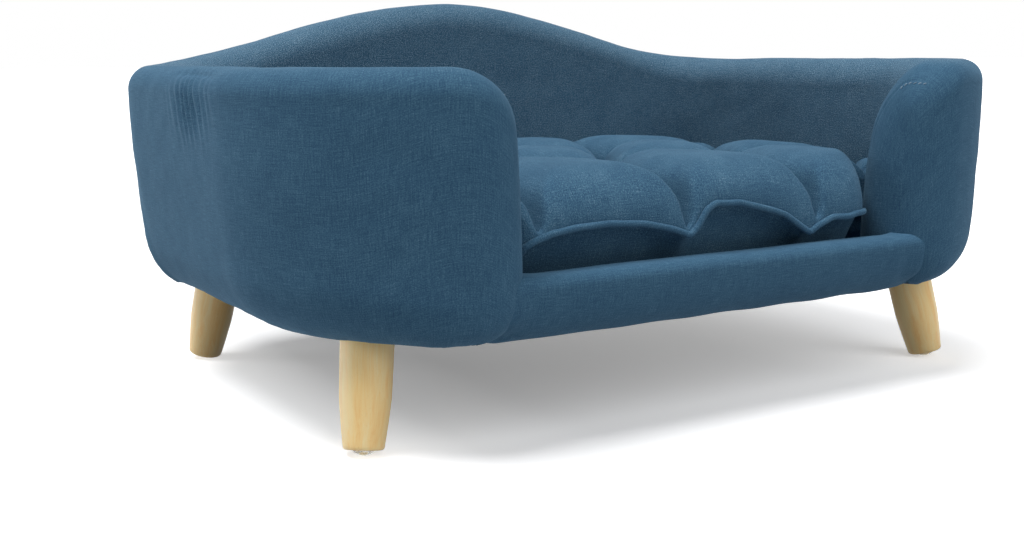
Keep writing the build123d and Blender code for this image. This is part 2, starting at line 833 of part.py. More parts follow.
def cushion_plan(inset):
    """Half of the cushion's outline, drawn in from its seam by an inset, with a tongue between the arms."""
    back_radius = seam_back - back_bend_y - inset
    front_radius = front_bend - half_wall - cushion_clearance - piping_room - inset
    back_y = seam_back - inset
    side_x = seam_side - inset
    tip_radius = tip_room + inset
    front_y = -(seam_front - inset)
    corner_y = front_y + cushion_corner_radius
    turn = asin((corner_y - arm_end_y) / (tip_radius + cushion_corner_radius))
    turn_from = pi / 2 - radians(180 - end_heading)
    tongue = (arm_end_x - tip_radius * cos(turn), arm_end_y + tip_radius * sin(turn))
    neck = (arm_end_x - tip_radius * cos(turn_from), arm_end_y + tip_radius * sin(turn_from))
    middle_turn = (turn + turn_from) / 2
    middle = (arm_end_x - tip_radius * cos(middle_turn), arm_end_y + tip_radius * sin(middle_turn))
    corner_x = tongue[0] - cushion_corner_radius * cos(turn)
    corner_turn = (turn + pi / 2) / 2
    corner_middle = (
        corner_x + cushion_corner_radius * cos(corner_turn),
        corner_y - cushion_corner_radius * sin(corner_turn),
    )
    bend_middle = radians((90 + end_heading) / 2)
    Line((0, back_y), (back_bend_x, back_y))
    ThreePointArc(
        (back_bend_x, back_y),
        (back_bend_x + back_radius * sqrt(0.5), back_bend_y + back_radius * sqrt(0.5)),
        (side_x, back_bend_y),
    )
    Line((side_x, back_bend_y), (side_x, front_bend_y))
    ThreePointArc(
        (side_x, front_bend_y),
        (front_bend_x + front_radius * sin(bend_middle), front_bend_y + front_radius * cos(bend_middle)),
        neck,
    )
    ThreePointArc(neck, middle, tongue)
    ThreePointArc(tongue, corner_middle, (corner_x, front_y))
    Line((corner_x, front_y), (0, front_y))


crown_overrun = 3.0
comb_step = 0.6
lower_height = cushion_seam_height - cushion_bottom
upper_height = cushion_crown + crown_overrun - cushion_seam_height
side_shares = (
    (0, 0.52), (0.1, 0.26), (0.3, 0.1), (0.6, 0.03), (1, 0),
)
cushion_side_depth = 36.0
tuft_rows = 3
comb_overrun = 60.0


side_columns = int(seam_side / tuft_pitch) + 1
column_places = [
    tuft_shift + (column + 0.5) * tuft_pitch for column in range(-side_columns - 1, side_columns + 1)
]
tuft_places = []
for row in range(tuft_rows):
    for column_x in column_places:
        tuft_x = column_x - tuft_pitch / 2 * (row % 2)
        if abs(tuft_x) < seam_side - cushion_side_depth:
            tuft_places.append((tuft_x, row * tuft_row_spacing - first_tuft_row))


def comb(row_y, drop):
    """The space above the puffs in a section across the cushion, with a valley at each tuft."""
    crest = cushion_crown - drop
    valley = crest - valley_depth
    ceiling = cushion_crown + comb_overrun
    first, last = column_places[0], column_places[-1]
    with BuildSketch(Plane.XZ.offset(-row_y)) as sketch:
        with BuildLine():
            for left, right in zip(column_places, column_places[1:]):
                ThreePointArc((left, valley), ((left + right) / 2, crest), (right, valley))
            Polyline((last, valley), (last, ceiling), (first, ceiling), (first, valley))
        make_face()
    return sketch.sketch


bottom_centred = (Align.CENTER, Align.CENTER, Align.MIN)
dimple_floor = cushion_crown - valley_depth - dimple_depth
first_row_y = -first_tuft_row
last_row_y = first_row_y + (tuft_rows - 1) * tuft_row_spacing
diagonal = hypot(tuft_pitch / 2, tuft_row_spacing) * (tuft_rows - 1)
with BuildPart() as cushion:
    for share, inset_share in side_shares:
        with BuildSketch(Plane.XY.offset(cushion_bottom + lower_height * share)):
            with BuildLine():
                cushion_plan(cushion_side_depth * inset_share)
                mirror(about=Plane.YZ)
            make_face()
    for share, inset_share in side_shares[-2::-1]:
        with BuildSketch(Plane.XY.offset(cushion_crown + crown_overrun - upper_height * share)):
            with BuildLine():
                cushion_plan(cushion_side_depth * inset_share)
                mirror(about=Plane.YZ)
            make_face()
    loft()
    extrude(comb(first_row_y, 0), amount=comb_overrun + half_depth, dir=(0, -1, 0), mode=Mode.SUBTRACT)
    for lean, drop in ((-1, comb_step), (1, 2 * comb_step)):
        direction = (lean * tuft_pitch / 2, tuft_row_spacing, 0)
        extrude(comb(first_row_y, drop), amount=diagonal, dir=direction, mode=Mode.SUBTRACT)
    extrude(comb(last_row_y, 0), amount=comb_overrun + half_depth, dir=(0, 1, 0), mode=Mode.SUBTRACT)
    with Locations([(x, y, dimple_floor) for x, y in tuft_places]):
        Cone(
            tie_knot_radius + tie_clearance, dimple_radius, valley_depth + dimple_depth,
            align=bottom_centred, mode=Mode.SUBTRACT,
        )
    with Locations([(x, y, cushion_bottom) for x, y in tuft_places]):
        Cylinder(tie_radius + tie_clearance, dimple_floor - cushion_bottom, align=bottom_centred, mode=Mode.SUBTRACT)
        Cylinder(
            tie_knot_radius + tie_clearance, tie_knot_height + layer_gap,
            align=bottom_centred, mode=Mode.SUBTRACT,
        )
finish(cushion.part, "cushion")

# Piping sewn round the cushion's seam, and the ties that pull each tuft down
piping_grow = piping_radius + layer_gap
with BuildPart() as cushion_piping:
    with BuildLine(Plane.XY.offset(cushion_seam_height)):
        cushion_plan(-piping_grow)
        mirror(about=Plane.YZ)
    with BuildSketch(Plane(origin=(0, seam_back + piping_grow, cushion_seam_height), z_dir=(1, 0, 0))):
        Circle(piping_radius)
    sweep()
finish(cushion_piping.part, "cushion_piping")

with BuildPart() as tuft_ties:
    with Locations([(x, y, cushion_bottom) for x, y in tuft_places]):
        Cylinder(tie_radius, dimple_floor + tie_knot_height - cushion_bottom, align=bottom_centred)
        Cylinder(tie_knot_radius, tie_knot_height, align=bottom_centred)
    with Locations([(x, y, dimple_floor + layer_gap) for x, y in tuft_places]):
        Cylinder(tie_knot_radius, tie_knot_height, align=bottom_centred)
finish(tuft_ties.part, "tuft_ties")
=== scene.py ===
import math
import time

import bmesh
import bpy
import numpy as np
from mathutils import Matrix, Vector, noise
from mathutils.bvhtree import BVHTree


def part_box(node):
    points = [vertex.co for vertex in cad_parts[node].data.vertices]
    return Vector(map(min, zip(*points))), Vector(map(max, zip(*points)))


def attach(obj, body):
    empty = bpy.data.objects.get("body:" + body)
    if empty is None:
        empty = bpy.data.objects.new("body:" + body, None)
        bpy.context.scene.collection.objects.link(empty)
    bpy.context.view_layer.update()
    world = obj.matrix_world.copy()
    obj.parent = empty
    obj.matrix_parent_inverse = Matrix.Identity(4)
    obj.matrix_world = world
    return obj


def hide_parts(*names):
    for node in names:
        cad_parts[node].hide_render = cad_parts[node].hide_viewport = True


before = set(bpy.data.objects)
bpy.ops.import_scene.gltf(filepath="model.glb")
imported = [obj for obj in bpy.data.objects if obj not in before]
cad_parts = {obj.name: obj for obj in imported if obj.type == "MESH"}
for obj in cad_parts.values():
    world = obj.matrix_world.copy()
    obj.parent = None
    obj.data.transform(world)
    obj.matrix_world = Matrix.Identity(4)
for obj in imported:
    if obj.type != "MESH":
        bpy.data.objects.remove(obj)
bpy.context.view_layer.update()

mm = 0.001
cornerSigns = {"back_right": (1, 1), "back_left": (-1, 1), "front_right": (1, -1), "front_left": (-1, -1)}

# The bed's own sizes in millimetres, which every fabric piece follows
bed = dict(
    width=768.35, depth=552.45, height=355.6, armHeight=292.5, clearance=82.0, wall=72.0,
    frontCorner=186.0, backCorner=165.0, armEndInset=144.175, topRoll=28.0, bottomRoll=55.0,
    bellyDrop=37.5, sideTuck=8.0, frontTuck=3.0, backTuck=12.5,
    humpReach=345.0, humpFullness=0.8, humpLean=3.5, rollRaise=3.2, hemReach=62.0, hemLevel=81.75,
    deckHeight=113.0, railSetback=8.0,
)
halfWidth = bed["width"] / 2
halfDepth = bed["depth"] / 2
halfWall = bed["wall"] / 2
backLine = halfDepth - halfWall
sideLine = halfWidth - halfWall
backBend = bed["backCorner"] - halfWall
backBendX = halfWidth - bed["backCorner"]
backBendY = halfDepth - bed["backCorner"]
frontBend = bed["frontCorner"] - halfWall
frontBendX = halfWidth - bed["frontCorner"]
armEndX = halfWidth - bed["armEndInset"]
armEndY = -backLine
endAngle = math.asin((armEndX - frontBendX) / frontBend)
endHeading = math.pi - endAngle
frontBendY = armEndY + frontBend * math.cos(endAngle)


def ease(share):
    # a smooth step from 0 to 1
    return share * share * (3 - 2 * share)


def walkedAlong(line):
    # how far along a line each of its points lies
    return np.concatenate([[0], np.cumsum(np.linalg.norm(np.diff(line, axis=0), axis=1))])


def normalsBeside(line):
    # unit normals to the left of a line in a plane
    tangent = np.gradient(line, axis=0)
    normal = np.stack([-tangent[:, 1], tangent[:, 0]], 1)
    return normal / (np.linalg.norm(normal, axis=1)[:, None] + 1e-9)


# Meshes and nodes
def placed(name, data):
    # a mesh, lamp or camera set into the scene
    thing = bpy.data.objects.new(name, data)
    bpy.context.scene.collection.objects.link(thing)
    return thing


def newPiece(name, vertices, faces):
    mesh = bpy.data.meshes.new(name)
    mesh.from_pydata([tuple(v) for v in vertices], [], faces)
    mesh.update()
    return placed(name, mesh)


def readAll(items, field, kind=float, width=1):
    values = np.empty(len(items) * width, kind)
    items.foreach_get(field, values)
    return values


def giveValues(piece, name, kind, values):
    # a number or a vector at each of the piece's points
    field = "value" if kind == "FLOAT" else "vector"
    piece.data.attributes.new(name, kind, "POINT").data.foreach_set(field, np.ravel(values))


def gridFaces(rows, columns, closeRows=False, closeColumns=False, start=0):
    faces = []
    for i in range(rows if closeRows else rows - 1):
        for j in range(columns if closeColumns else columns - 1):
            a = start + i * columns + j
            b = start + i * columns + (j + 1) % columns
            c = start + (i + 1) % rows * columns + (j + 1) % columns
            d = start + (i + 1) % rows * columns + j
            faces.append((a, b, c, d))
    return faces


def giveWeave(piece, places):
    # the weave's own map: how far each point lies along and across the cloth, in metres
    layer = piece.data.uv_layers.new(name="weave")
    corners = readAll(piece.data.loops, "vertex_index", int)
    layer.data.foreach_set("uv", np.asarray(places, float)[corners].ravel())


def smooth(piece, material):
    piece.data.materials.clear()
    piece.data.materials.append(material)
    piece.data.polygons.foreach_set("use_smooth", [True] * len(piece.data.polygons))
    return piece


def turnOut(piece, mergeAt=1e-6):
    work = bmesh.new()
    work.from_mesh(piece.data)
    bmesh.ops.remove_doubles(work, verts=work.verts, dist=mergeAt)
    bmesh.ops.recalc_face_normals(work, faces=work.faces)
    work.to_mesh(piece.data)
    work.free()
    return piece


def applyModifiers(piece):
    bpy.context.view_layer.update()
    state = bpy.context.evaluated_depsgraph_get()
    mesh = bpy.data.meshes.new_from_object(
        piece.evaluated_get(state), preserve_all_data_layers=True, depsgraph=state)
    piece.modifiers.clear()
    piece.data = mesh
    return piece


def addNode(tree, kind, inputs=None, **settings):
    node = tree.nodes.new(kind)
    for key, value in settings.items():
        setattr(node, key, value)
    for key, value in (inputs or {}).items():
        if isinstance(value, bpy.types.NodeSocket):
            tree.links.new(value, node.inputs[key])
        else:
            node.inputs[key].default_value = value
    return node


def maths(tree, operation, *values):
    return addNode(tree, "ShaderNodeMath", dict(enumerate(values)), operation=operation).outputs[0]


def mixColours(tree, share, first, second, **settings):
    values = {"Fac": share, "Color1": first, "Color2": second}
    return addNode(tree, "ShaderNodeMixRGB", values, **settings).outputs["Color"]


def mapRange(tree, value, fromRange=(0.0, 1.0), toRange=(0.0, 1.0)):
    return addNode(tree, "ShaderNodeMapRange", {
        "Value": value, "From Min": fromRange[0], "From Max": fromRange[1],
        "To Min": toRange[0], "To Max": toRange[1],
    }).outputs[0]


def bumpFrom(tree, height, strength, depthMm):
    values = {"Height": height, "Strength": strength, "Distance": depthMm * mm}
    return addNode(tree, "ShaderNodeBump", values).outputs["Normal"]


def ramp(tree, share, stops):
    # each stop is a place with a hex colour or a grey level
    node = addNode(tree, "ShaderNodeValToRGB", {"Fac": share})
    elements = node.color_ramp.elements
    while len(elements) < len(stops):
        elements.new(0.5)
    for element, (place, value) in zip(elements, stops):
        element.position = place
        element.color = colour(value) if isinstance(value, str) else (value, value, value, 1)
    return node.outputs["Color"]


def colour(hexValue, alpha=1.0):
    # sRGB hex to linear
    parts = [int(hexValue[i:i + 2], 16) / 255 for i in (1, 3, 5)]
    return tuple(p / 12.92 if p <= 0.04045 else ((p + 0.055) / 1.055) ** 2.4 for p in parts) + (alpha,)


def newMaterial(name):
    material = bpy.data.materials.new(name)
    material.use_nodes = True
    tree = material.node_tree
    return material, tree, tree.nodes["Principled BSDF"]


def finishShader(tree, shader, fixed, **linked):
    # plain numbers stay on the shader's own sockets
    for key, value in fixed.items():
        shader.inputs[key].default_value = value
    for key, socket in linked.items():
        tree.links.new(socket, shader.inputs[key.replace("_", " ")])


def noisePattern(tree, vector, scale, detail, rough=0.5, offset=(0, 0, 0), dimensions="3D"):
    # noise drawn on a place that is first stretched and moved
    place = addNode(tree, "ShaderNodeMapping", {"Vector": vector, "Scale": scale, "Location": offset})
    return addNode(tree, "ShaderNodeTexNoise", {
        "Vector": place.outputs["Vector"], "Scale": 1.0, "Detail": detail, "Roughness": rough,
    }, noise_dimensions=dimensions).outputs["Fac"]


def seenDirectly(tree):
    # 1 where the camera sees the surface, straight or in gloss or through plastic
    path = addNode(tree, "ShaderNodeLightPath").outputs
    seen = path["Is Camera Ray"]
    for other in ("Is Glossy Ray", "Is Transmission Ray"):
        seen = maths(tree, "MAXIMUM", seen, path[other])
    return seen


# Materials
# the linen's colours and patterns; a piece's mask strengthens its speckle and lifts its tone lighter, and that
# lift is painted fill light
linen = dict(
    dark="#1b344a", low="#2a4b66", middle="#375b75", light="#4a6f87", pale="#8aa2b1",
    threadMm=0.8, slubMm=15.0, speckMm=1.0, cloudMm=40.0, bumpMm=0.2,
    speckle=0.5, streaks=0.25, mottling=0.09, heatherAndPaintedFill=0.0, paintedFill=0.0,
    sheen=0.2, sheenTint="#8fb4cc", weaveShare=0.05,
)


def linenWeave(name, spec):
    # woven polyester linen: matt, speckled with lighter fibres, with slub threads both ways that cross as faint
    # streaks; its real threads lie about 0.4 mm apart, drawn twice as coarse here so that they show. Where a
    # piece's mask is set, the speckle is stronger and the tone is lifted lighter as painted fill light
    material, tree, shader = newMaterial(name)
    cloth = addNode(tree, "ShaderNodeUVMap", uv_map="weave").outputs["UV"]
    thread, slub, speck, cloud = (
        1 / (spec[key] * mm) for key in ("threadMm", "slubMm", "speckMm", "cloudMm"))

    def evenNoise(scale, offset, detail, rough=0.6):
        fac = noisePattern(tree, cloth, scale, detail, rough, offset, "2D")
        return maths(tree, "SUBTRACT", fac, 0.5)

    heatherAndFill = addNode(tree, "ShaderNodeAttribute", attribute_name="heatherAndPaintedFill").outputs["Fac"]
    strength = maths(tree, "MULTIPLY_ADD", heatherAndFill, spec["heatherAndPaintedFill"], spec["speckle"])
    value = 0.5
    for pattern, amount in (
        (evenNoise((speck, speck, 1), (0, 0, 0), 2.0, 0.8), strength),
        # painted fill light: the mask lifts the tone lighter
        (heatherAndFill, spec["paintedFill"]),
        (evenNoise((slub, thread, 1), (3, 7, 0), 2.0), spec["streaks"]),
        (evenNoise((thread, slub, 1), (11, 5, 0), 2.0), spec["streaks"]),
        (evenNoise((cloud, cloud, 1), (2, 9, 0), 3.0), spec["mottling"]),
    ):
        value = maths(tree, "MULTIPLY_ADD", pattern, amount, value)
    tint = ramp(tree, value, [
        (0.1, spec["dark"]), (0.36, spec["low"]), (0.5, spec["middle"]), (0.64, spec["light"]),
        (0.9, spec["pale"]),
    ])
    parts = addNode(tree, "ShaderNodeSeparateXYZ", {"Vector": cloth}).outputs
    waves = []
    for axis in (0, 1):
        waves.append(maths(tree, "SINE", maths(tree, "MULTIPLY", parts[axis], math.pi * thread)))
    overUnder = maths(tree, "MULTIPLY", *waves)
    height = maths(tree, "MULTIPLY_ADD", overUnder, spec["weaveShare"], value)
    finishShader(tree, shader, {
        "Roughness": 0.92, "Specular IOR Level": 0.2, "Sheen Weight": spec["sheen"], "Sheen Roughness": 0.4,
        "Sheen Tint": colour(spec["sheenTint"]),
    }, Base_Color=tint, Normal=bumpFrom(tree, height, 0.5, spec["bumpMm"]))
    return material


def plainStuff(name, base, second, grainMm, stretch, roughness, metallic=0.0, bumpMm=0.1, specular=0.5):
    # one noise in the object's own space, stretched along its grain, for wood, metal and hidden cloth
    material, tree, shader = newMaterial(name)
    place = addNode(tree, "ShaderNodeTexCoord").outputs["Object"]
    grain = noisePattern(tree, place, [1 / (grainMm * s * mm) for s in stretch], 4.0)
    tint = ramp(tree, grain, [(0.35, base), (0.65, second)])
    fixed = {"Roughness": roughness, "Metallic": metallic}
    if not metallic:
        fixed["Specular IOR Level"] = specular
    finishShader(tree, shader, fixed, Base_Color=tint, Normal=bumpFrom(tree, grain, 0.4, bumpMm))
    return material


legWood = dict(
    pale="#ffe6ac", warm="#ffdb96", dark="#fbc87c", pore="#b98a58", ringMm=6.0, streakMm=0.9, poreMm=0.35,
)


def turnedRubberwood(name, spec):
    # turned rubberwood under clear satin lacquer: fine streaks along the leg, broad rings, short dark pores
    material, tree, shader = newMaterial(name)
    place = addNode(tree, "ShaderNodeAttribute", attribute_name="grain").outputs["Vector"]
    waver = addNode(tree, "ShaderNodeTexNoise", {"Vector": place, "Scale": 28.0, "Detail": 2.0})
    bent = mixColours(tree, 0.006, place, waver.outputs["Color"], blend_type="ADD")

    def alongLeg(sizeMm, stretch, detail, rough=0.5, offset=(0, 0, 0)):
        scale = 1 / (sizeMm * mm)
        return noisePattern(tree, bent, (scale, scale, scale * stretch), detail, rough, offset)

    rings = alongLeg(spec["ringMm"], 0.07, 3.0)
    streaks = alongLeg(spec["streakMm"], 0.03, 3.0, 0.6)
    pores = alongLeg(spec["poreMm"], 0.09, 1.0, offset=(4, 9, 2))
    grain = maths(tree, "MULTIPLY_ADD", streaks, 0.45, rings)
    tint = ramp(tree, grain, [(0.42, spec["dark"]), (0.68, spec["warm"]), (0.95, spec["pale"])])
    mixed = mixColours(tree, mapRange(tree, pores, (0.68, 0.76), (0.0, 0.22)), tint, colour(spec["pore"]))
    finishShader(tree, shader, {"Roughness": 0.42, "Coat Weight": 0.15, "Coat Roughness": 0.35},
                 Base_Color=mixed, Normal=bumpFrom(tree, grain, 0.25, 0.12))
    return material


def clearPlastic(name):
    # moulded soft clear plastic, faintly clouded, so light bends in it but it isn't optical
    material, tree, shader = newMaterial(name)
    place = addNode(tree, "ShaderNodeTexCoord").outputs["Object"]
    haze = addNode(tree, "ShaderNodeTexNoise", {"Vector": place, "Scale": 420.0, "Detail": 2.0})
    rough = mapRange(tree, haze.outputs["Fac"], toRange=(0.08, 0.28))
    finishShader(tree, shader, {
        "Base Color": colour("#eef1f1"), "IOR": 1.49, "Transmission Weight": 0.9,
    }, Roughness=rough)
    return material


railLinen = linenWeave("slubLinenWeaveBlue", linen)
# the covers' linen: where they face into the bed, stronger speckle and a tone lifted lighter as painted fill
# light
coverLinen = linenWeave("slubLinenWeaveBlueHeatherAndPaintedFill", {**linen, "heatherAndPaintedFill": 1.25, "paintedFill": 0.06})
cushionLinen = linenWeave("slubLinenWeaveBlueCushion", {**linen, "speckle": 0.9, "mottling": 0.2})
legMaterial = turnedRubberwood("rubberwoodSatinLacquer", legWood)
stuffs = {
    # polyurethane foam, cut: pale yellow, dull and finely pitted
    "foam": plainStuff("polyurethaneFoamOpenCell", "#e8e2cf", "#d8cfb4", 1.2, (1, 1, 1), 0.95, bumpMm=0.6),
    # birch plywood, sanded: long soft grain in two warm tones
    "plywood": plainStuff("plywoodBirchSanded", "#d8b98a", "#b98f5c", 4.0, (12, 1, 1), 0.7),
    # pine, planed: yellow with longer, stronger grain
    "pine": plainStuff("pineBattenPlaned", "#e3c48f", "#c49a62", 3.0, (14, 1, 1), 0.65),
    # beech, turned: close pinkish grain along its axis
    "mount_wood": plainStuff("beechMountTurned", "#d9b383", "#b98c58", 2.5, (1, 1, 9), 0.6),
    # brass, machined: yellow, with fine tool marks
    "brass_insert": plainStuff("brassMachined", "#d6ad5b", "#b98b3c", 0.4, (1, 1, 3), 0.3, 1.0, 0.02),
    # steel, zinc plated: bright grey, a little cloudy
    "washer_steel": plainStuff("steelZincPlated", "#c9cdd0", "#a4a9ad", 0.6, (1, 1, 4), 0.32, 1.0, 0.02),
    "bolt_steel": plainStuff("steelBoltZincPlated", "#c4c8cb", "#9ea3a7", 0.5, (1, 1, 4), 0.34, 1.0, 0.02),
    # steel, passivated yellow: the golden tone of wood screws
    "screw_steel": plainStuff("steelYellowZinc", "#d8c27c", "#b29a55", 0.5, (1, 1, 4), 0.35, 1.0, 0.02),
    # steel wire, galvanised: soft grey sheen
    "staple_steel": plainStuff("staplesGalvanised", "#cfd2d4", "#9b9fa2", 0.4, (3, 1, 1), 0.38, 1.0, 0.02),
    # polyester cloth, plain woven: darker and flatter than the cover's
    "deck_cloth": plainStuff("deckClothPlainWeave", "#35546d", "#223c52", 1.4, (1, 6, 1), 0.95, specular=0.2),
    # cambric, bonded and not woven: black, with a faint felted mottle
    "dust_cover": plainStuff("cambricNonWovenBlack", "#1b1c1e", "#2c2d30", 1.8, (1, 1, 1), 0.9, specular=0.3),
    # polyester thread, twisted and waxed: blue, a little glossy
    "tie_thread": plainStuff("tieThreadTwistedBlue", "#2a4660", "#3f6080", 0.5, (1, 1, 1), 0.8, specular=0.3),
    "glide_plastic": clearPlastic("glideClearPlastic"),
}
# cotton sewing thread: pale, so that each stitch shows on the linen
threadMaterial = plainStuff("sewingThreadPale", "#9db2c3", "#738da3", 0.3, (1, 4, 1), 0.6, bumpMm=0.05)
print("materials ready")


# The padded wall: places along its middle line, and its section at each place
def humpHeight(x):
    if abs(x) >= bed["humpReach"]:
        return 0.0
    full = (1 + math.cos(math.pi * x / bed["humpReach"])) / 2
    # it is a bit lower to the right
    lean = bed["humpLean"] * math.sin(math.pi * x / bed["humpReach"]) if x > 0 else 0
    return (bed["height"] - bed["armHeight"]) * full ** bed["humpFullness"] - lean


backLength = backBendX
cornerLength = backBend * math.pi / 2
sideLength = backBendY - frontBendY
bendLength = frontBend * (endHeading - math.pi / 2)
wallLength = backLength + cornerLength + sideLength + bendLength
tipLength = halfWall * math.pi / 2


# the arm's end is a rounded pad, wider on its inner side and a little longer towards its foot
armEnd = dict(
    round=50.0, roundFrom=14.0, footSpread=21.0, footReach=6.0, spreadFrom=286.0, spreadTo=120.0, fade=80.0,
    fullRoll=32.0, lowRoll=40.0, footRise=3.0, riseFrom=170.0, rollEase=90.0,
    seamLow=28.0, seamHigh=44.0, seamDepth=1.3, seamWidth=1.1, beadHeight=0.5, beadAt=3.2, beadWidth=1.8,
)


def footShare(z):
    start, end = armEnd["spreadFrom"], armEnd["spreadTo"]
    return np.sin(np.clip((start - np.asarray(z, float)) / (start - end), 0, 1) * math.pi / 2)


def footInset(z):
    # how far the arm's end is rounded in under its front
    low = armEnd["lowRoll"]
    under = np.clip(bed["clearance"] + bed["rollRaise"] + low - np.asarray(z, float), 0, low)
    return np.minimum(low - np.sqrt(low ** 2 - under ** 2), halfWall - 2)


def wallPlace(distance):
    # the wall's middle line at a distance from the back's middle, positive to the right
    side = -1 if distance < 0 else 1
    d = abs(distance)
    curl, squeeze, angle, ahead = 1.0, 1.0, -1.0, max(0.0, d - wallLength + armEnd["roundFrom"])
    if d <= backLength:
        x, y, heading, tuck = d, backLine, 0.0, bed["backTuck"]
    elif d <= backLength + cornerLength:
        share = (d - backLength) / cornerLength
        heading = share * math.pi / 2
        x, y = backBendX + backBend * math.sin(heading), backBendY + backBend * math.cos(heading)
        tuck = bed["backTuck"] + (bed["sideTuck"] - bed["backTuck"]) * share
    elif d <= backLength + cornerLength + sideLength:
        x, y = sideLine, backBendY - (d - backLength - cornerLength)
        heading, tuck = math.pi / 2, bed["sideTuck"]
    elif d <= wallLength:
        share = (d - wallLength + bendLength) / bendLength
        heading = math.pi / 2 + (endHeading - math.pi / 2) * share
        x, y = frontBendX + frontBend * math.sin(heading), frontBendY + frontBend * math.cos(heading)
        tuck = bed["sideTuck"] + (bed["frontTuck"] - bed["sideTuck"]) * share
        curl = 1 - share
    else:
        angle = min((d - wallLength) / tipLength, 1.0) * math.pi / 2
        heading, tuck, curl, squeeze = endHeading, bed["frontTuck"], 0.0, math.cos(angle)
        forward = halfWall * math.sin(angle)
        x, y = armEndX + forward * math.cos(heading), armEndY - forward * math.sin(heading)
        ahead = armEnd["roundFrom"] + forward
    drop = armEnd["round"] - math.sqrt(max(0.0, armEnd["round"] ** 2 - ahead ** 2))
    top = bed["armHeight"] - drop + (humpHeight(side * x) if d <= backLength + cornerLength else 0)
    return dict(x=side * x, y=y, heading=side * heading, top=top, tuck=tuck, curl=curl, squeeze=squeeze,
                d=distance, angle=angle)


def arcPoints(centreU, centreZ, radius, start, end, count):
    angles = np.linspace(start, end, count)
    return np.stack([centreU + radius * np.cos(angles), centreZ + radius * np.sin(angles)], 1)


def endShare(place):
    return ease(min(max((abs(place["d"]) - wallLength + armEnd["rollEase"]) / armEnd["rollEase"], 0), 1))


def rollDepth(place):
    # how far down the inner side the top's rounding reaches; it is fuller at the arm's end
    return bed["topRoll"] + armEnd["fullRoll"] * endShare(place)


def outerSection(place):
    # from the inner face, over the roll, down the outside and under to the hem
    near = endShare(place)
    roll, low = bed["topRoll"], bed["bottomRoll"] + (armEnd["lowRoll"] - bed["bottomRoll"]) * near
    base = bed["clearance"] + bed["rollRaise"]
    # the outer edge is tighter along the sides
    sharper = 1 - 0.25 * min(1, max(0, (abs(place["d"]) - backLength) / cornerLength))
    topU, outerRoll = halfWall - roll, roll * sharper
    belly = min(bed["armHeight"] - bed["bellyDrop"], place["top"] - bed["bellyDrop"])
    faceHeight = belly - base - low
    faceRadius = (faceHeight ** 2 + place["tuck"] ** 2) / (2 * place["tuck"])
    faceU = halfWall - faceRadius
    lowU = faceU + math.sqrt((faceRadius - low) ** 2 - faceHeight ** 2)
    lowZ = base + low
    lean = math.atan2(faceHeight, lowU - faceU)
    reach = halfWall + (bed["hemReach"] - halfWall) * place["curl"]
    quarter = math.pi / 2
    under = np.linspace(lowU, -reach, 22)[1:]
    hem = bed["hemLevel"] + (base - bed["hemLevel"]) * near              # not drawn down under the arm's end
    innerRoll = roll + topU * near
    inner = arcPoints(innerRoll - halfWall, 0, innerRoll, 2 * quarter, quarter, 18)
    inner[:, 1] = place["top"] + (inner[:, 1] / innerRoll - 1) * rollDepth(place)
    return np.concatenate([
        inner,
        arcPoints(halfWall - outerRoll, place["top"] - outerRoll, outerRoll, quarter, 0, 22),
        np.stack([np.full(6, halfWall), np.linspace(place["top"] - outerRoll, belly, 8)[1:-1]], 1),
        arcPoints(faceU, belly, faceRadius, 0, -lean, 26),
        arcPoints(lowU, lowZ, low, -lean, -quarter, 20)[1:],
        np.stack([under, hem + (base - hem) * np.clip((under + 25) / (lowU + 25), 0, 1)], 1),
    ])


swell = dict(
    along=0.012, up=0.014, across=0.016, depth=1.1, finer=3.3, fineDepth=0.5, hemFrom=48.0, hemFade=22.0,
)


def settle(place, line):
    # slow swells of the filling under the cloth, the same on both covers where they meet; the hem lies flat
    push = np.zeros(len(line))
    for i, (u, z) in enumerate(line):
        spot = Vector((place["d"] * swell["along"], z * swell["up"], u * swell["across"]))
        fine = noise.noise(spot * swell["finer"] + Vector((7, 3, 1)))
        push[i] = swell["depth"] * noise.noise(spot) + swell["fineDepth"] * fine
    hem = (line[:, 1] < bed["clearance"] + 4) & (line[:, 0] < 0)
    return push * np.where(hem, np.clip((line[:, 0] + swell["hemFrom"]) / swell["hemFade"], 0, 1), 1)


def seamAngle(z):
    # where round the arm's end the seam of its front runs, further forward near the top
    return np.radians(np.interp(z, [200, 280], [armEnd["seamLow"], armEnd["seamHigh"]]))


def seamPush(place, line):
    # the seam's groove, and the soft swell of cloth on each side of it
    if place["angle"] < 0:
        return 0
    away = (place["angle"] - seamAngle(line[:, 1])) * halfWall
    inner = np.clip((8 - line[:, 0]) / 12, 0, 1)
    groove = armEnd["seamDepth"] * np.exp(-(away / armEnd["seamWidth"]) ** 2)
    bead = armEnd["beadHeight"] * np.exp(-((np.abs(away) - armEnd["beadAt"]) / armEnd["beadWidth"]) ** 2)
    return inner * (bead - groove)


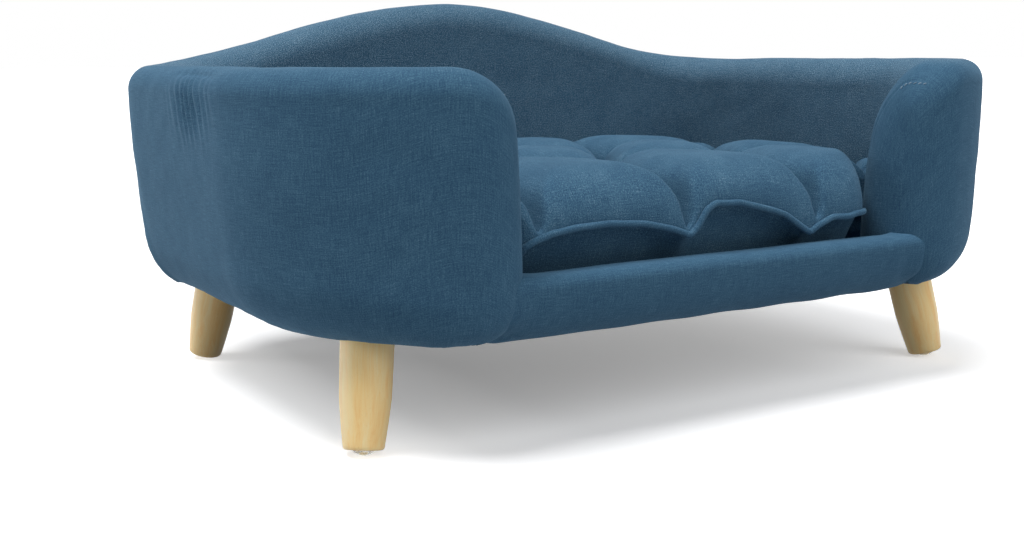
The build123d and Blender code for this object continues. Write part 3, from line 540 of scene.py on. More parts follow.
def sweepWall(distances, section, extraPush=None):
    rows, weave = [], []
    for distance in distances:
        place = wallPlace(distance)
        line = section(place)
        steps = walkedAlong(line)
        normal = normalsBeside(line)
        push = settle(place, line) + seamPush(place, line) / max(place["squeeze"], 0.2) ** 0.5
        if extraPush is not None:
            push += extraPush(place, line)
        moved = line + normal * (push * place["squeeze"] ** 0.5)[:, None]
        rise = armEnd["footRise"] * (1 - place["squeeze"])
        low = (armEnd["riseFrom"] - moved[:, 1]) / (armEnd["riseFrom"] - bed["clearance"])
        moved[:, 1] += rise * np.clip(low, 0, 1)
        side = -1 if distance < 0 else 1
        close = np.clip((abs(distance) - wallLength + armEnd["fade"]) / armEnd["fade"], 0, 1)
        spreadAt = armEnd["footSpread"] * ease(close) * footShare(moved[:, 1])
        inside = np.clip(-moved[:, 0] / halfWall, 0, 1)
        u = (moved[:, 0] - spreadAt * inside) * place["squeeze"]
        ahead = armEnd["footReach"] * footShare(moved[:, 1]) - footInset(moved[:, 1])
        ahead = ahead * math.sqrt(max(0, 1 - place["squeeze"] ** 2))
        outX, outY = math.sin(place["heading"]), math.cos(place["heading"])
        x = place["x"] + outX * u + side * outY * ahead
        rows.append(np.stack([x, place["y"] + outY * u - side * outX * ahead, moved[:, 1]], 1) * mm)
        weave.append(np.stack([np.full(len(line), distance), steps], 1) * mm)
    return np.array(rows), np.array(weave)


# what the cloth does on the outside: gathers below the left arm's edge, a long fold under it,
# a tuck at its lower corner, and shallow scallops between the staples of the hem
outerFolds = dict(
    gatherAt=-(backLength + cornerLength + 158.0), gatherWidth=38.0, gatherDepth=1.9, gatherPitch=12.5,
    gatherHeight=262.0, gatherFall=20.0, edgeFoldZ=285.5, edgeFoldDepth=3.4,
    tuckAt=-(backLength + cornerLength * 0.8), tuckWidth=7.0, tuckDepth=2.4, tuckTop=190.0,
    scallopPitch=50.0, scallopDepth=0.9,
)


def outerPush(place, line):
    f, d, z = outerFolds, place["d"], line[:, 1]
    outside = (line[:, 0] > 0).astype(float)
    push = np.zeros(len(line))
    for side, strength in ((1, 1.0), (-1, 0.45)):
        near = strength * math.exp(-((d - side * f["gatherAt"]) / f["gatherWidth"]) ** 2)
        band = np.exp(-((z - f["gatherHeight"]) / f["gatherFall"]) ** 2)
        wander = d + 2.0 * math.sin(d * 0.11) + 0.8 * math.sin(d * 0.31)
        wander = wander - side * 0.3 * (z - f["gatherHeight"])
        push += outside * near * band * f["gatherDepth"] * np.cos(2 * math.pi * wander / f["gatherPitch"])
        crease = np.exp(-((z - f["edgeFoldZ"] - 3 * math.sin(d * 0.03)) / 2.6) ** 2)
        push -= outside * near * crease * f["edgeFoldDepth"]
        lean = d - side * f["tuckAt"] - 0.35 * side * (z - f["tuckTop"])
        fold = strength * np.exp(-(lean / f["tuckWidth"]) ** 2)
        push += outside * np.clip((f["tuckTop"] - z) / 55, 0, 1) * fold * f["tuckDepth"]
    edge = np.exp(-((z - bed["clearance"]) / 12) ** 2) * outside
    return push + edge * f["scallopDepth"] * math.cos(2 * math.pi * d / f["scallopPitch"])


# how close together the grid's columns lie, and how many go round an arm's end
wallGrid = dict(straight=4.2, fine=2.0, fineReach=110.0, tip=52)


def wallSteps():
    # distances for the grid's columns, closer together where the left arm's cloth is gathered
    centre = -outerFolds["gatherAt"]
    steps, d = [0.0], 0.0
    while d < wallLength - wallGrid["straight"]:
        d += wallGrid["fine"] if abs(d - centre) < wallGrid["fineReach"] else wallGrid["straight"]
        steps.append(d)
    steps += list(wallLength + tipLength * np.linspace(0, 1, wallGrid["tip"]))
    return np.array([-s for s in reversed(steps[1:])] + steps)


def clothFromRows(name, rows, weave, material):
    piece = newPiece(name, rows.reshape(-1, 3), gridFaces(*rows.shape[:2]))
    giveWeave(piece, weave.reshape(-1, 2))
    return smooth(piece, material)


# where it faces into the bed the cloth is speckled and painted lighter as fill light: by distance along the
# wall and by row over the roll
heatherAndFillSpread = dict(fade=24.0, leftArm=0.35, rows=32, rowFade=14)

wallDistances = wallSteps()
outerRows, weave = sweepWall(wallDistances, outerSection, outerPush)
outerCover = clothFromRows("outerCover", outerRows, weave, coverLinen)
wellShare = np.clip((wallLength + heatherAndFillSpread["fade"] / 2 - np.abs(wallDistances)) / heatherAndFillSpread["fade"], 0, 1)
leftArm = np.where(wallDistances < -backLength - cornerLength, heatherAndFillSpread["leftArm"], 1)
overRoll = np.clip((heatherAndFillSpread["rows"] - np.arange(outerRows.shape[1])) / heatherAndFillSpread["rowFade"], 0, 1)
giveValues(outerCover, "heatherAndPaintedFill", "FLOAT", np.outer(wellShare * leftArm, overRoll))
print("outer cover", len(outerCover.data.polygons))


def innerSection(place):
    # up the inside from the deck, with the cloth drawn in a little where it goes down behind the deck
    bottom = bed["deckHeight"] + 1.2
    top = place["top"] - rollDepth(place)
    share = np.linspace(0, 1, 40)
    tuck = 1.6 * np.exp(-share * 14)
    return np.stack([-halfWall + tuck, bottom + (top - bottom) * share], 1)


innerRows, weave = sweepWall(wallDistances, innerSection)
innerCover = clothFromRows("innerCover", innerRows, weave, coverLinen)
# the inner cover's mask: speckled and painted lighter, as fill light, all the way up where it faces into the
# bed
giveValues(innerCover, "heatherAndPaintedFill", "FLOAT", np.repeat(wellShare, innerRows.shape[1]))
print("inner cover", len(innerCover.data.polygons))

# The low rail between the arms
rail = dict(
    top=137.0, bottom=81.6, topRound=10.0, lowRound=45.0, backY=-241.0, hemY=-186.0, tuckIn=9.0,
    swell=0.8, drawIn=1.4, drawFade=6.0, puckerAt=15.0, puckerWidth=7.0, puckerDepth=0.9, hemRipple=0.6,
    liftFrom=18.0, lift=4.2,
)


def railLine():
    # from behind the cushion, over the top and down the front to the hem
    face = -halfDepth + bed["railSetback"]
    quarter = math.pi / 2
    back = arcPoints(rail["backY"] - 3, rail["top"] - 3, 3, 0, quarter, 5)
    front = arcPoints(face + rail["topRound"], rail["top"] - rail["topRound"], rail["topRound"],
                      quarter, 2 * quarter, 12)
    low = arcPoints(face + rail["lowRound"], rail["bottom"] + rail["lowRound"], rail["lowRound"],
                    2 * quarter, 3 * quarter, 26)
    return np.concatenate([
        np.stack([np.full(6, rail["backY"]), np.linspace(115, rail["top"] - 3, 7)[:-1]], 1),
        back, front, low[1:],
        np.stack([np.linspace(face + rail["lowRound"], rail["hemY"], 8)[1:], np.full(7, rail["bottom"])], 1),
    ])


def armEndEdge(y, z):
    # how far towards the middle the arm's rounded end reaches at a place across it and a height
    turn = np.linspace(-math.pi / 2, math.pi / 2, 121)
    foot = float(footShare(z))
    forward = (halfWall + armEnd["footReach"] * foot) * np.cos(turn)
    sideways = np.where(turn < 0, halfWall, halfWall + armEnd["footSpread"] * foot) * np.sin(turn)
    outX, outY = math.sin(endHeading), math.cos(endHeading)
    xs = armEndX + outY * forward - outX * sideways
    ys = armEndY - outX * forward - outY * sideways
    return np.interp(y, ys, xs)


def buildRail(count=190):
    line = railLine()
    steps = walkedAlong(line)
    normal = normalsBeside(line)
    rows, weave = [], []
    seam = np.array([armEndEdge(min(y, armEndY + 20), z) + footInset(z) for y, z in line])
    reach = seam + rail["tuckIn"]                                      # its ends run on under the arms' cloth
    for share in np.linspace(-1, 1, count):
        share = math.copysign(abs(share) ** 0.92, share)
        x = reach * share
        toEnd = np.clip(seam - np.abs(x), 0, None)
        wave = [noise.noise(Vector((a * 0.012, b * 0.02, 5.5))) for a, b in zip(x, line[:, 1])]
        push = rail["swell"] * np.array(wave)
        front = np.exp(-((line[:, 1] - 108) / 26) ** 2)
        push -= rail["drawIn"] * np.exp(-toEnd / rail["drawFade"])         # drawn in where it meets the arms
        pucker = rail["puckerDepth"] * np.exp(-((toEnd - rail["puckerAt"]) / rail["puckerWidth"]) ** 2)
        push += front * pucker * (1 if share > 0 else 0.6)
        hem = np.exp(-((line[:, 1] - 84) / 8) ** 2)
        push += rail["hemRipple"] * hem * np.sin(x * 0.09 + 0.8) * (0.6 + 0.4 * share)
        y = line[:, 0] + normal[:, 0] * push
        z = line[:, 1] + normal[:, 1] * push
        # its lower edge lifts out of sight inside the arms
        inArm = np.clip((np.abs(x) - seam + rail["liftFrom"]) / rail["liftFrom"], 0, 1.4)
        z = z + rail["lift"] * inArm * np.clip((104 - z) / 16, 0, 1)
        rows.append(np.stack([x, y, z], 1) * mm)
        weave.append(np.stack([x, steps], 1) * mm)
    return np.array(rows), np.array(weave)


railCover = clothFromRows("railCover", *buildRail(), railLinen)
print("rail cover", len(railCover.data.polygons))

# The loose cushion: its case is blown up from the solid's form, held at its seam and its twelve ties
cushionSizes = dict(
    seam=160.0, bottom=114.3, dimple=176.0, pipingRadius=2.8, voxelMm=5.75, pressure=5.0, spare=0.05,
    frames=20, capMm=8.0, holdTuft=6.0, clearWall=1.0, creaseDepth=9.0, creaseWidth=5.0, undercut=26.0,
    backEdge=196.4, sideEdge=304.4, frontEdge=-242.4, cornerRound=66.0, cornerFrom=136.0, cornerHinge=-120.0,
    cornerFade=52.0, holdSeam=3.2, holdEdge=8.0, holdCrease=2.2, creaseWeight=0.8,
)
tufts = [(x, y) for y in (-146, 94) for x in (-178.5, -35.5, 107.5, 250.5)]
tufts += [(x, -26) for x in (-250, -107, 36, 179)]
# how far the front seam rises or dips from its level, between the puffs
seamRise = [
    (-245, -16), (-212, -17), (-196, -12), (-181, 0), (-167, 5), (-145, 8), (-113, 9), (-78, 6), (-50, -1),
    (-33, -7), (-24, 1), (-17, 13), (-7, 18), (18, 17), (44, 11), (70, 3), (84, -6), (98, -15), (108, -9),
    (125, -3), (145, -4), (156, -2), (185, -4), (205, -8), (250, -14),
]


def easeThrough(points, at):
    xs, ys = np.array(points, float).T
    fine = np.arange(xs[0], xs[-1] + 1)
    level = np.interp(fine, xs, ys)
    window = np.hanning(11)
    soft = np.convolve(np.pad(level, 4, mode="edge"), window[1:-1] / window.sum(), mode="valid")
    return np.interp(at, fine, soft)


def seamShift(x, y):
    # the front dips as photographed; elsewhere the seam only waves gently with the puffs
    front = 1 / (1 + np.exp((y + 175) / 14))
    return front * easeThrough(seamRise, x) + (1 - front) * (3.2 * np.cos(2 * np.pi * (x + y) / 143) - 1)


def keepInWell(x, y, margin, z=None):
    # moves points back from the arms' and back's inner faces and from the arms' ends
    side, ax = np.sign(x), np.abs(x)
    foot = armEnd["footSpread"] * footShare(200 if z is None else z)
    y = np.minimum(y, backLine - halfWall - margin)
    ax = np.minimum(ax, sideLine - halfWall - margin)
    bends = ((backBendX, backBendY, backBend, True), (frontBendX, frontBendY, frontBend, False))
    for cx, cy, radius, above in bends:
        dx, dy = ax - cx, y - cy
        far = np.hypot(dx, dy)
        reach = radius - halfWall - margin
        hit = (dx > 0) & ((dy > 0) if above else (dy < 0) & (ax < armEndX + 200)) & (far > reach)
        if not above:
            hit &= np.arctan2(dx, -dy) > endAngle * 0.6
        ax = np.where(hit, cx + dx / np.maximum(far, 1e-9) * reach, ax)
        y = np.where(hit, cy + dy / np.maximum(far, 1e-9) * reach, y)
    dx, dy = ax - armEndX, y - armEndY
    far = np.hypot(dx, dy)
    near = halfWall + margin + foot * np.clip((dy + 10) / 30, 0.55, 1)
    hit = (far < near) & (dx < 30)
    ax = np.where(hit, armEndX + dx / np.maximum(far, 1e-9) * near, ax)
    y = np.where(hit, armEndY + dy / np.maximum(far, 1e-9) * near, y)
    return side * ax, y


def roundCorner(x, y):
    # the front right corner is drawn back round the arm's end
    radius, front, hinge = (cushionSizes[key] for key in ("cornerRound", "frontEdge", "cornerHinge"))
    along = np.clip(x - cushionSizes["cornerFrom"], 0, radius)
    limit = front + radius - np.sqrt(radius ** 2 - along ** 2)
    moved = hinge + (y - hinge) * (limit - hinge) / (front - hinge)
    # it eases out behind the arm
    fade = ease(np.clip((armEndX + halfWall - x) / cushionSizes["cornerFade"], 0, 1))
    return np.where(y < hinge, y + (moved - y) * fade, y)


def copyOfNode(name, newName):
    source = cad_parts[name]
    mesh = source.data.copy()
    mesh.transform(source.matrix_world)
    return turnOut(placed(newName, mesh), 2e-5)


def positions(piece):
    return readAll(piece.data.vertices, "co", width=3).reshape(-1, 3) / mm


def movePoints(piece, points):
    piece.data.vertices.foreach_set("co", (points * mm).ravel())
    piece.data.update()


# the puffs: creases run from tie to tie, and from the outer ties to the seam
puff = dict(
    reach=50.0, crown=214.0, tie=163.0, between=177.0, seamReach=50.0, sideFall=12.0, backFall=5.0,
)


def puffCreases():
    # where each crease starts and ends, and whether it ends at the seam
    creases = []
    middle = [t for t in tufts if t[1] == -26]
    for x, y in tufts:
        if y == -26:
            continue
        creases += [((x, y), (mx, my), False) for mx, my in middle if abs(mx - x) < 75]
        creases.append(((x, y), (x + (3 if y < 0 else 0), -246 if y < 0 else 200), True))
    for tie, edge in (
        ((-250, -26), (-308, -34)), ((250.5, -146), (308, -154)), ((250.5, 94), (308, 104)),
        ((250.5, -146), (308, -70)), ((250.5, 94), (308, 20)),
    ):
        creases.append((tie, edge, True))
    return creases


def seamDistance(x, y):
    # how far a point lies inside the cushion's outline at its seam
    back = cushionSizes["backEdge"] - y
    side = cushionSizes["sideEdge"] - np.abs(x)
    front = np.where(np.abs(x) < 225, y - cushionSizes["frontEdge"], 1e3)
    ax = np.abs(x)
    bend = np.where(y < frontBendY, frontBend - halfWall - 2 - np.hypot(ax - frontBendX, y - frontBendY), 1e3)
    bend = np.where(ax > frontBendX, bend, 1e3)
    corner = np.where((ax > backBendX) & (y > backBendY),
                      backBend - halfWall - 8 - np.hypot(ax - backBendX, y - backBendY), 1e3)
    neck = (np.hypot(ax - armEndX, y - armEndY) - halfWall - 2) * 2.2        # squeezed up against the arm
    neck = np.where(y < -190, neck, 1e3)
    return np.clip(np.min([back, side, front, bend, corner, neck], axis=0), 0, None)


def besideCrease(x, y, start, end):
    # the point on a crease nearest to each point, how far along the crease it is and how far away
    (ax, ay), (bx, by) = start, end
    length = math.hypot(bx - ax, by - ay)
    along = np.clip(((x - ax) * (bx - ax) + (y - ay) * (by - ay)) / length ** 2, 0, 1)
    cx, cy = ax + along * (bx - ax), ay + along * (by - ay)
    return cx, cy, along, np.hypot(x - cx, y - cy)


def nearestCrease(x, y):
    # the nearest point on any crease, and how far it is
    nearX, nearY, nearest = x.copy(), y.copy(), np.full(len(x), 1e3)
    for start, end, _ in puffCreases():
        cx, cy, _, far = besideCrease(x, y, start, end)
        closer = far < nearest
        nearX, nearY = np.where(closer, cx, nearX), np.where(closer, cy, nearY)
        nearest = np.minimum(nearest, far)
    return nearX, nearY, nearest


def dome(distance, reach):
    share = np.clip(1 - distance / reach, 0, 1)
    return np.sqrt(1 - share ** 2)


def puffHeight(x, y):
    crown = puff["crown"] - puff["sideFall"] * (np.abs(x) / 300) ** 3
    crown = crown - puff["backFall"] * np.clip(y / 190, 0, 1)
    seam = cushionSizes["seam"] + seamShift(x, y)
    height = seam + (crown - seam) * dome(seamDistance(x, y), puff["seamReach"])
    tie = puff["tie"]
    for start, end, toSeam in puffCreases():
        _, _, along, far = besideCrease(x, y, start, end)
        if toSeam:
            level = tie + (seam + 1 - tie) * along ** 1.6 + 9 * np.sin(math.pi * along)
        else:
            level = tie + (puff["between"] - tie) * np.sin(math.pi * along) ** 0.8
        height = np.minimum(height, level + (crown - level) * dome(far, puff["reach"]))
    return height


def blowUp(piece, held, sizes):
    # cloth with pressure inside and no gravity; a share of spare cloth makes it crease at what holds it
    before = positions(piece)
    group = piece.vertex_groups.new(name="held")
    for weight in np.unique(held):
        group.add([int(i) for i in np.nonzero(held == weight)[0]], float(weight), "REPLACE")
    cloth = piece.modifiers.new("cloth", "CLOTH")
    settings = cloth.settings
    settings.quality = 6
    settings.mass = 0.25
    settings.tension_stiffness = 18
    settings.compression_stiffness = 18
    settings.shear_stiffness = 6
    settings.bending_stiffness = 1.2
    settings.use_pressure = True
    settings.uniform_pressure_force = sizes["pressure"]
    settings.shrink_min = -sizes["spare"]
    settings.effector_weights.gravity = 0
    settings.vertex_group_mass = "held"
    scene = bpy.context.scene
    cloth.point_cache.frame_start, cloth.point_cache.frame_end = 1, sizes["frames"]
    for step in range(1, sizes["frames"] + 1):
        scene.frame_set(step)
    applyModifiers(piece)
    scene.frame_set(1)
    piece.vertex_groups.clear()
    after = positions(piece)
    move = after - before
    length = np.linalg.norm(move, axis=1)
    cap = sizes["capMm"]
    soft = cap * np.tanh(length / cap) / np.maximum(length, 1e-9)
    movePoints(piece, before + move * soft[:, None])
    return piece


def voxelMesh(piece, size):
    remesh = piece.modifiers.new("remesh", "REMESH")
    remesh.mode = "VOXEL"
    remesh.voxel_size = size * mm
    return applyModifiers(piece)


def tuftDistance(x, y):
    return np.min([np.hypot(x - tx, y - ty) for tx, ty in tufts], axis=0)


def buildCushion():
    piece = copyOfNode("cushion", "cushionCase")
    size = cushionSizes["voxelMm"] * 1
    voxelMesh(piece, size)
    at = positions(piece)
    x, y, z = at.T
    low, high = cushionSizes["bottom"], cushionSizes["seam"]
    shift = seamShift(x, y)
    share = ease(np.clip((z - low) / (high - low), 0, 1))
    top = puffHeight(x, y)
    plain = high + (215 - high) * dome(seamDistance(x, y), puff["seamReach"])
    upper = np.clip((z - high) / np.maximum(plain - high, 4), 0, 1)
    lifted = high + shift + (top - high - shift) * np.where(upper > 0.5, 1, upper * 2)
    at[:, 2] = np.where(z <= high, z + share * shift, lifted)
    creaseX, creaseY, far = nearestCrease(at[:, 0], at[:, 1])
    near = (far < 0.5 * size) & (at[:, 2] > high + shift + 6)        # points beside a crease are laid along it
    at[near, 0], at[near, 1] = creaseX[near], creaseY[near]
    at[near, 2] = puffHeight(at[near, 0], at[near, 1])
    movePoints(piece, at)
    x, y, z = at.T
    creaseNear = nearestCrease(x, y)[2]
    nearTuft = tuftDistance(x, y)
    held = np.zeros(len(at))
    held[z < low + 2] = 1.0
    level = np.abs(z - high - shift) < cushionSizes["holdSeam"]
    held[level & (seamDistance(x, y) < cushionSizes["holdEdge"])] = 1.0
    held[(creaseNear < cushionSizes["holdCrease"]) & (z > high + shift + 4)] = cushionSizes["creaseWeight"]
    held[(nearTuft < cushionSizes["holdTuft"]) & (z > 150)] = 1.0
    started = time.time()
    blowUp(piece, held, cushionSizes)
    print("cushion simulated in", round(time.time() - started), "s")
    finer = piece.modifiers.new("finer", "SUBSURF")
    finer.levels = finer.render_levels = 1
    applyModifiers(piece)
    at = positions(piece)
    x, y, z = at.T
    nearTuft = tuftDistance(x, y)
    far = nearestCrease(x, y)[2]
    groove = cushionSizes["creaseDepth"] * np.exp(-(far / cushionSizes["creaseWidth"]) ** 2)
    groove *= np.clip((z - high - seamShift(x, y) - 3) / 12, 0, 1)
    at[:, 2] -= groove + 2.5 * np.exp(-(nearTuft / 5) ** 2) * (z > high + 4)
    # below the seam the cushion's front runs back
    below = np.clip(1 - (z - low) / (high + seamShift(x, y) - low), 0, 1) ** 0.5
    front = 1 / (1 + np.exp((y + 190) / 12)) * np.clip((232 - np.abs(x)) / 20, 0, 1)
    at[:, 1] += cushionSizes["undercut"] * below * front
    at[:, 1] = roundCorner(at[:, 0], at[:, 1])
    at[:, 0], at[:, 1] = keepInWell(at[:, 0], at[:, 1], cushionSizes["clearWall"], at[:, 2])
    at[:, 2] = np.maximum(at[:, 2], low - 0.2)
    movePoints(piece, at)
    return piece


def searchTree(mesh):
    corners = [v.co.copy() for v in mesh.vertices]
    return BVHTree.FromPolygons(corners, [tuple(p.vertices) for p in mesh.polygons])


cushionCase = buildCushion()
cushionTree = searchTree(cushionCase.data)
print("cushion case", len(cushionCase.data.polygons))


def boxWeave(piece):
    # lays the weave on each face from the side that it faces most
    mesh = piece.data
    normals = readAll(mesh.polygons, "normal", width=3).reshape(-1, 3)
    facing = (np.abs(normals) * (1, 1, 1.6)).argmax(1)
    totals = readAll(mesh.polygons, "loop_total", int)
    corners = readAll(mesh.loops, "vertex_index", int)
    at = positions(piece)[corners] * mm
    axis = np.repeat(facing, totals)
    u = np.where(axis == 0, at[:, 1], at[:, 0])
    v = np.where(axis == 2, at[:, 1], at[:, 2])
    layer = mesh.uv_layers.new(name="weave")
    layer.data.foreach_set("uv", np.stack([u, v], 1).ravel())


smooth(cushionCase, cushionLinen)
boxWeave(cushionCase)


def evened(ring, passes):
    # smooths the values round a closed ring
    for _ in range(passes):
        ring = (np.roll(ring, 1, axis=0) + 2 * ring + np.roll(ring, -1, axis=0)) / 4
    return ring


def seamPlan():
    # the piping's middle line, found between its solid's inner and outer side and raised with the seam
    solid = searchTree(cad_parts["cushion_piping"].data)
    low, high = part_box("cushion_piping")
    centre = Vector((0, -20 * mm, (low.z + high.z) / 2))
    ring = []
    for angle in np.linspace(-math.pi, math.pi, 900, endpoint=False):
        out = Vector((math.cos(angle), math.sin(angle), 0))
        near = solid.ray_cast(centre, out)
        far = solid.ray_cast(near[0] + out * 1e-4, out)
        ring.append(((near[0] + far[0]) / 2 / mm)[:2])
    ring = np.array(ring)
    ring = evened(ring, 4)
    looped = np.vstack([ring, ring[:1]])
    walked = walkedAlong(looped)
    even = np.linspace(0, walked[-1], int(walked[-1] / 2.5), endpoint=False)
    x, y = np.interp(even, walked, looped[:, 0]), np.interp(even, walked, looped[:, 1])
    z = cushionSizes["seam"] + seamShift(x, y)
    y = roundCorner(x, y)
    x, y = keepInWell(x, y, cushionSizes["pipingRadius"] + 0.3, z)
    return np.stack([x, y, z], 1)


def roundTube(name, path, radius, sides, closed, lay, twist=0.0):
    # a tube along a path, with the weave laid along and round it
    count = len(path)
    rows, weave = [], []
    walked = 0.0
    for i in range(count):
        before = path[i - 1] if closed or i else path[i]
        after = path[(i + 1) % count] if closed or i < count - 1 else path[i]
        along = (after - before) / (np.linalg.norm(after - before) + 1e-9)
        side = np.cross(along, (0, 0, 1))
        side /= np.linalg.norm(side) + 1e-9
        up = np.cross(side, along)
        turns = np.linspace(0, 2 * math.pi, sides, endpoint=False) + twist
        ring = path[i] + radius * (np.outer(np.cos(turns), side) + np.outer(np.sin(turns), up))
        rows.append(ring * mm)
        weave.append(np.stack([np.full(sides, walked), turns * radius], 1) * mm)
        walked += np.linalg.norm(path[(i + 1) % count] - path[i])
    piece = newPiece(name, np.concatenate(rows), gridFaces(count, sides, closeRows=closed, closeColumns=True))
    giveWeave(piece, np.concatenate(weave))
    return smooth(turnOut(piece), lay)


def besideCase(path):
    # draws the piping in to where the case's seam lies after it is blown up
    shift = np.zeros_like(path)
    limit = cushionSizes["pipingRadius"] * 0.5
    for i, point in enumerate(path):
        nearest = cushionTree.find_nearest(Vector(point * mm))[0]
        away = point - np.array(nearest) / mm
        far = np.linalg.norm(away)
        if far > limit:
            shift[i] = away * (limit / far - 1)
    return path + evened(shift, 3)


pipingPath = besideCase(seamPlan())
cushionPiping = roundTube("cushionPiping", pipingPath, cushionSizes["pipingRadius"], 14, True, cushionLinen)
print("piping", len(pipingPath))

# The ties that pull the tufts down: doubled thread from the bottom of the case to each dimple
tieSizes = dict(radius=0.55, twistMm=7.0, apart=0.55)


def buildTies():
    vertices, faces = [], []
    for tx, ty in tufts:
        hit = cushionTree.ray_cast(Vector((tx * mm, ty * mm, 0.3)), Vector((0, 0, -1)), 0.3)
        top = hit[0].z / mm + 0.5 if hit[0] is not None else cushionSizes["dimple"]
        heights = np.arange(cushionSizes["bottom"] + 0.5, top, 1.4)
        for strand in (0, math.pi):
            turn = heights / tieSizes["twistMm"] * 2 * math.pi + strand
            apart = tieSizes["apart"]
            path = np.stack([tx + apart * np.cos(turn), ty + apart * np.sin(turn), heights], 1)
            start = len(vertices)
            for point in path:
                for a in np.linspace(0, 2 * math.pi, 6, endpoint=False):
                    vertices.append((point + tieSizes["radius"] * np.array((math.cos(a), math.sin(a), 0))) * mm)
            faces += gridFaces(len(path), 6, closeColumns=True, start=start)
    piece = newPiece("tuftThreads", vertices, faces)
    return smooth(turnOut(piece), stuffs["tie_thread"])


tuftThreads = buildTies()

# The four turned legs, each round its own splayed axis, with domed glides
leg = dict(
    seatX=292.7, seatY=176.6, seatZ=90.0, splayX=14.3, splayY=17.9, top=21.0, middle=20.3, foot=16.0,
    land=6.0, chamfer=1.6, edge=0.9, length=88.42,
)


def legFrame(corner):
    sx, sy = cornerSigns[corner]
    seat = Vector((sx * leg["seatX"], sy * leg["seatY"], leg["seatZ"]))
    down = Vector((sx * leg["splayX"], sy * leg["splayY"], -leg["seatZ"])).normalized()
    side = down.cross(Vector((0, 1, 0))).normalized()
    return seat, down, side, down.cross(side)


def lathe(name, corner, profile, material, sides=96, seed=0.0):
    # profile: radius and distance down the leg's axis
    seat, down, side, across = legFrame(corner)
    turns = np.linspace(0, 2 * math.pi, sides, endpoint=False)
    rings, local = [], []
    for radius, depth in profile:
        for a in turns:
            point = seat + down * depth + (side * math.cos(a) + across * math.sin(a)) * radius
            rings.append(np.array(point) * mm)
            local.append(np.array((radius * math.cos(a), radius * math.sin(a), depth)) * mm + seed)
    piece = newPiece(name, rings, gridFaces(len(profile), sides, closeColumns=True))
    giveValues(piece, "grain", "FLOAT_VECTOR", local)
    return smooth(turnOut(piece), material)


def legProfile():
    length, chamfer, edge = leg["length"], leg["chamfer"], leg["edge"]
    rounded = [(leg["top"] - edge * (1 - math.sin(a)), edge * (1 - math.cos(a)))
               for a in np.linspace(0, math.pi / 2, 5)]
    spots = [(0.2, 0.0), (leg["top"] * 0.5, 0.0)] + rounded + [(leg["top"], leg["land"])]
    for share in np.linspace(0, 1, 22)[1:]:
        along = leg["land"] + (length * 0.55 - leg["land"]) * share
        spots.append((leg["top"] + (leg["middle"] - leg["top"]) * share ** 1.4, along))
    for share in np.linspace(0, 1, 22)[1:]:
        along = length * 0.55 + (length * 0.45 - chamfer) * share
        narrow = leg["middle"] + (leg["foot"] - leg["middle"]) * (0.75 * share + 0.25 * share * share)
        spots.append((narrow, along))
    last = spots[-1][0]
    spots += [(last - chamfer * 0.45, length - chamfer * 0.35), (last - chamfer, length)]
    return spots + [(last * 0.5, length), (0.2, length)]


legs = {}
for number, corner in enumerate(cornerSigns):
    legs[corner] = lathe("leg_" + corner + "_turned", corner, legProfile(), legMaterial, seed=0.31 * number)
print("legs", len(legs))


legHoles = dict(spare=1.5, below=95.0)


def cutLegHoles(piece):
    # round holes in the hem for each leg's bolt and washer, hidden by the leg while it is screwed in
    work = bmesh.new()
    work.from_mesh(piece.data)
    for corner in cornerSigns:
        low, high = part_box("leg_washer_" + corner)
        radius = (high.x - low.x) / 2 + legHoles["spare"] * mm
        seat, down, _, _ = legFrame(corner)
        centre = (seat + down * ((seat.z - bed["clearance"]) / -down.z)) * mm
        hem = [v for v in work.verts if v.co.z < legHoles["below"] * mm]
        inside = [v for v in hem if (v.co.xy - centre.xy).length < radius]
        edge = {v for gone in inside for face in gone.link_faces for v in face.verts} - set(inside)
        for vertex in edge:
            away = (vertex.co.xy - centre.xy).normalized() * radius
            vertex.co.x, vertex.co.y = centre.x + away.x, centre.y + away.y
        bmesh.ops.delete(work, geom=inside, context="VERTS")
    work.to_mesh(piece.data)
    work.free()


cutLegHoles(outerCover)

# The cloth over the deck, and the dust cover stapled under the base
def insetPlan(inset, tongue=None):
    # the wall's middle line drawn in, round the right half; a tongue runs forward to the rail board
    quarter = math.pi / 2
    back = np.stack([np.linspace(0, backBendX, 30), np.full(30, backLine - inset)], 1)
    corner = arcPoints(backBendX, backBendY, backBend - inset, quarter, 0, 26)[1:]
    side = np.stack([np.full(16, sideLine - inset), np.linspace(backBendY, frontBendY, 17)[1:]], 1)
    bend = arcPoints(frontBendX, frontBendY, frontBend - inset, 0, -quarter, 34)[1:]
    half = np.concatenate([back, corner, side, bend])
    if tongue:
        edge = np.stack([np.full(8, tongue[0]), np.linspace(bend[-1, 1], tongue[1], 8)], 1)
        half = np.concatenate([back, corner, side, bend[bend[:, 0] > tongue[0]], edge])
    last = half[-1]
    front = np.stack([np.linspace(last[0], 0, 32)[1:], np.full(31, last[1])], 1)
    half = np.concatenate([half, front])
    return np.concatenate([half, (half * (-1, 1))[-2:0:-1]])


def clothSheet(name, outline, level, ripple, faceUp, material, rings=30):
    shares = np.linspace(0, 1, rings + 1)[1:]
    flat = np.concatenate([[[0, 0]]] + [outline * share for share in shares])
    edge = np.concatenate([[0], np.repeat(shares, len(outline))])
    heights = np.array([level + ripple(x, y, share) for (x, y), share in zip(flat, edge)])
    faces = gridFaces(rings, len(outline), closeColumns=True, start=1)
    faces += [(0, 1 + (i + 1) % len(outline), 1 + i) for i in range(len(outline))]
    piece = newPiece(name, np.column_stack([flat, heights]) * mm, faces)
    giveWeave(piece, flat * mm)
    smooth(piece, material)
    if (piece.data.polygons[0].normal.z > 0) != faceUp:
        piece.data.flip_normals()
    return piece


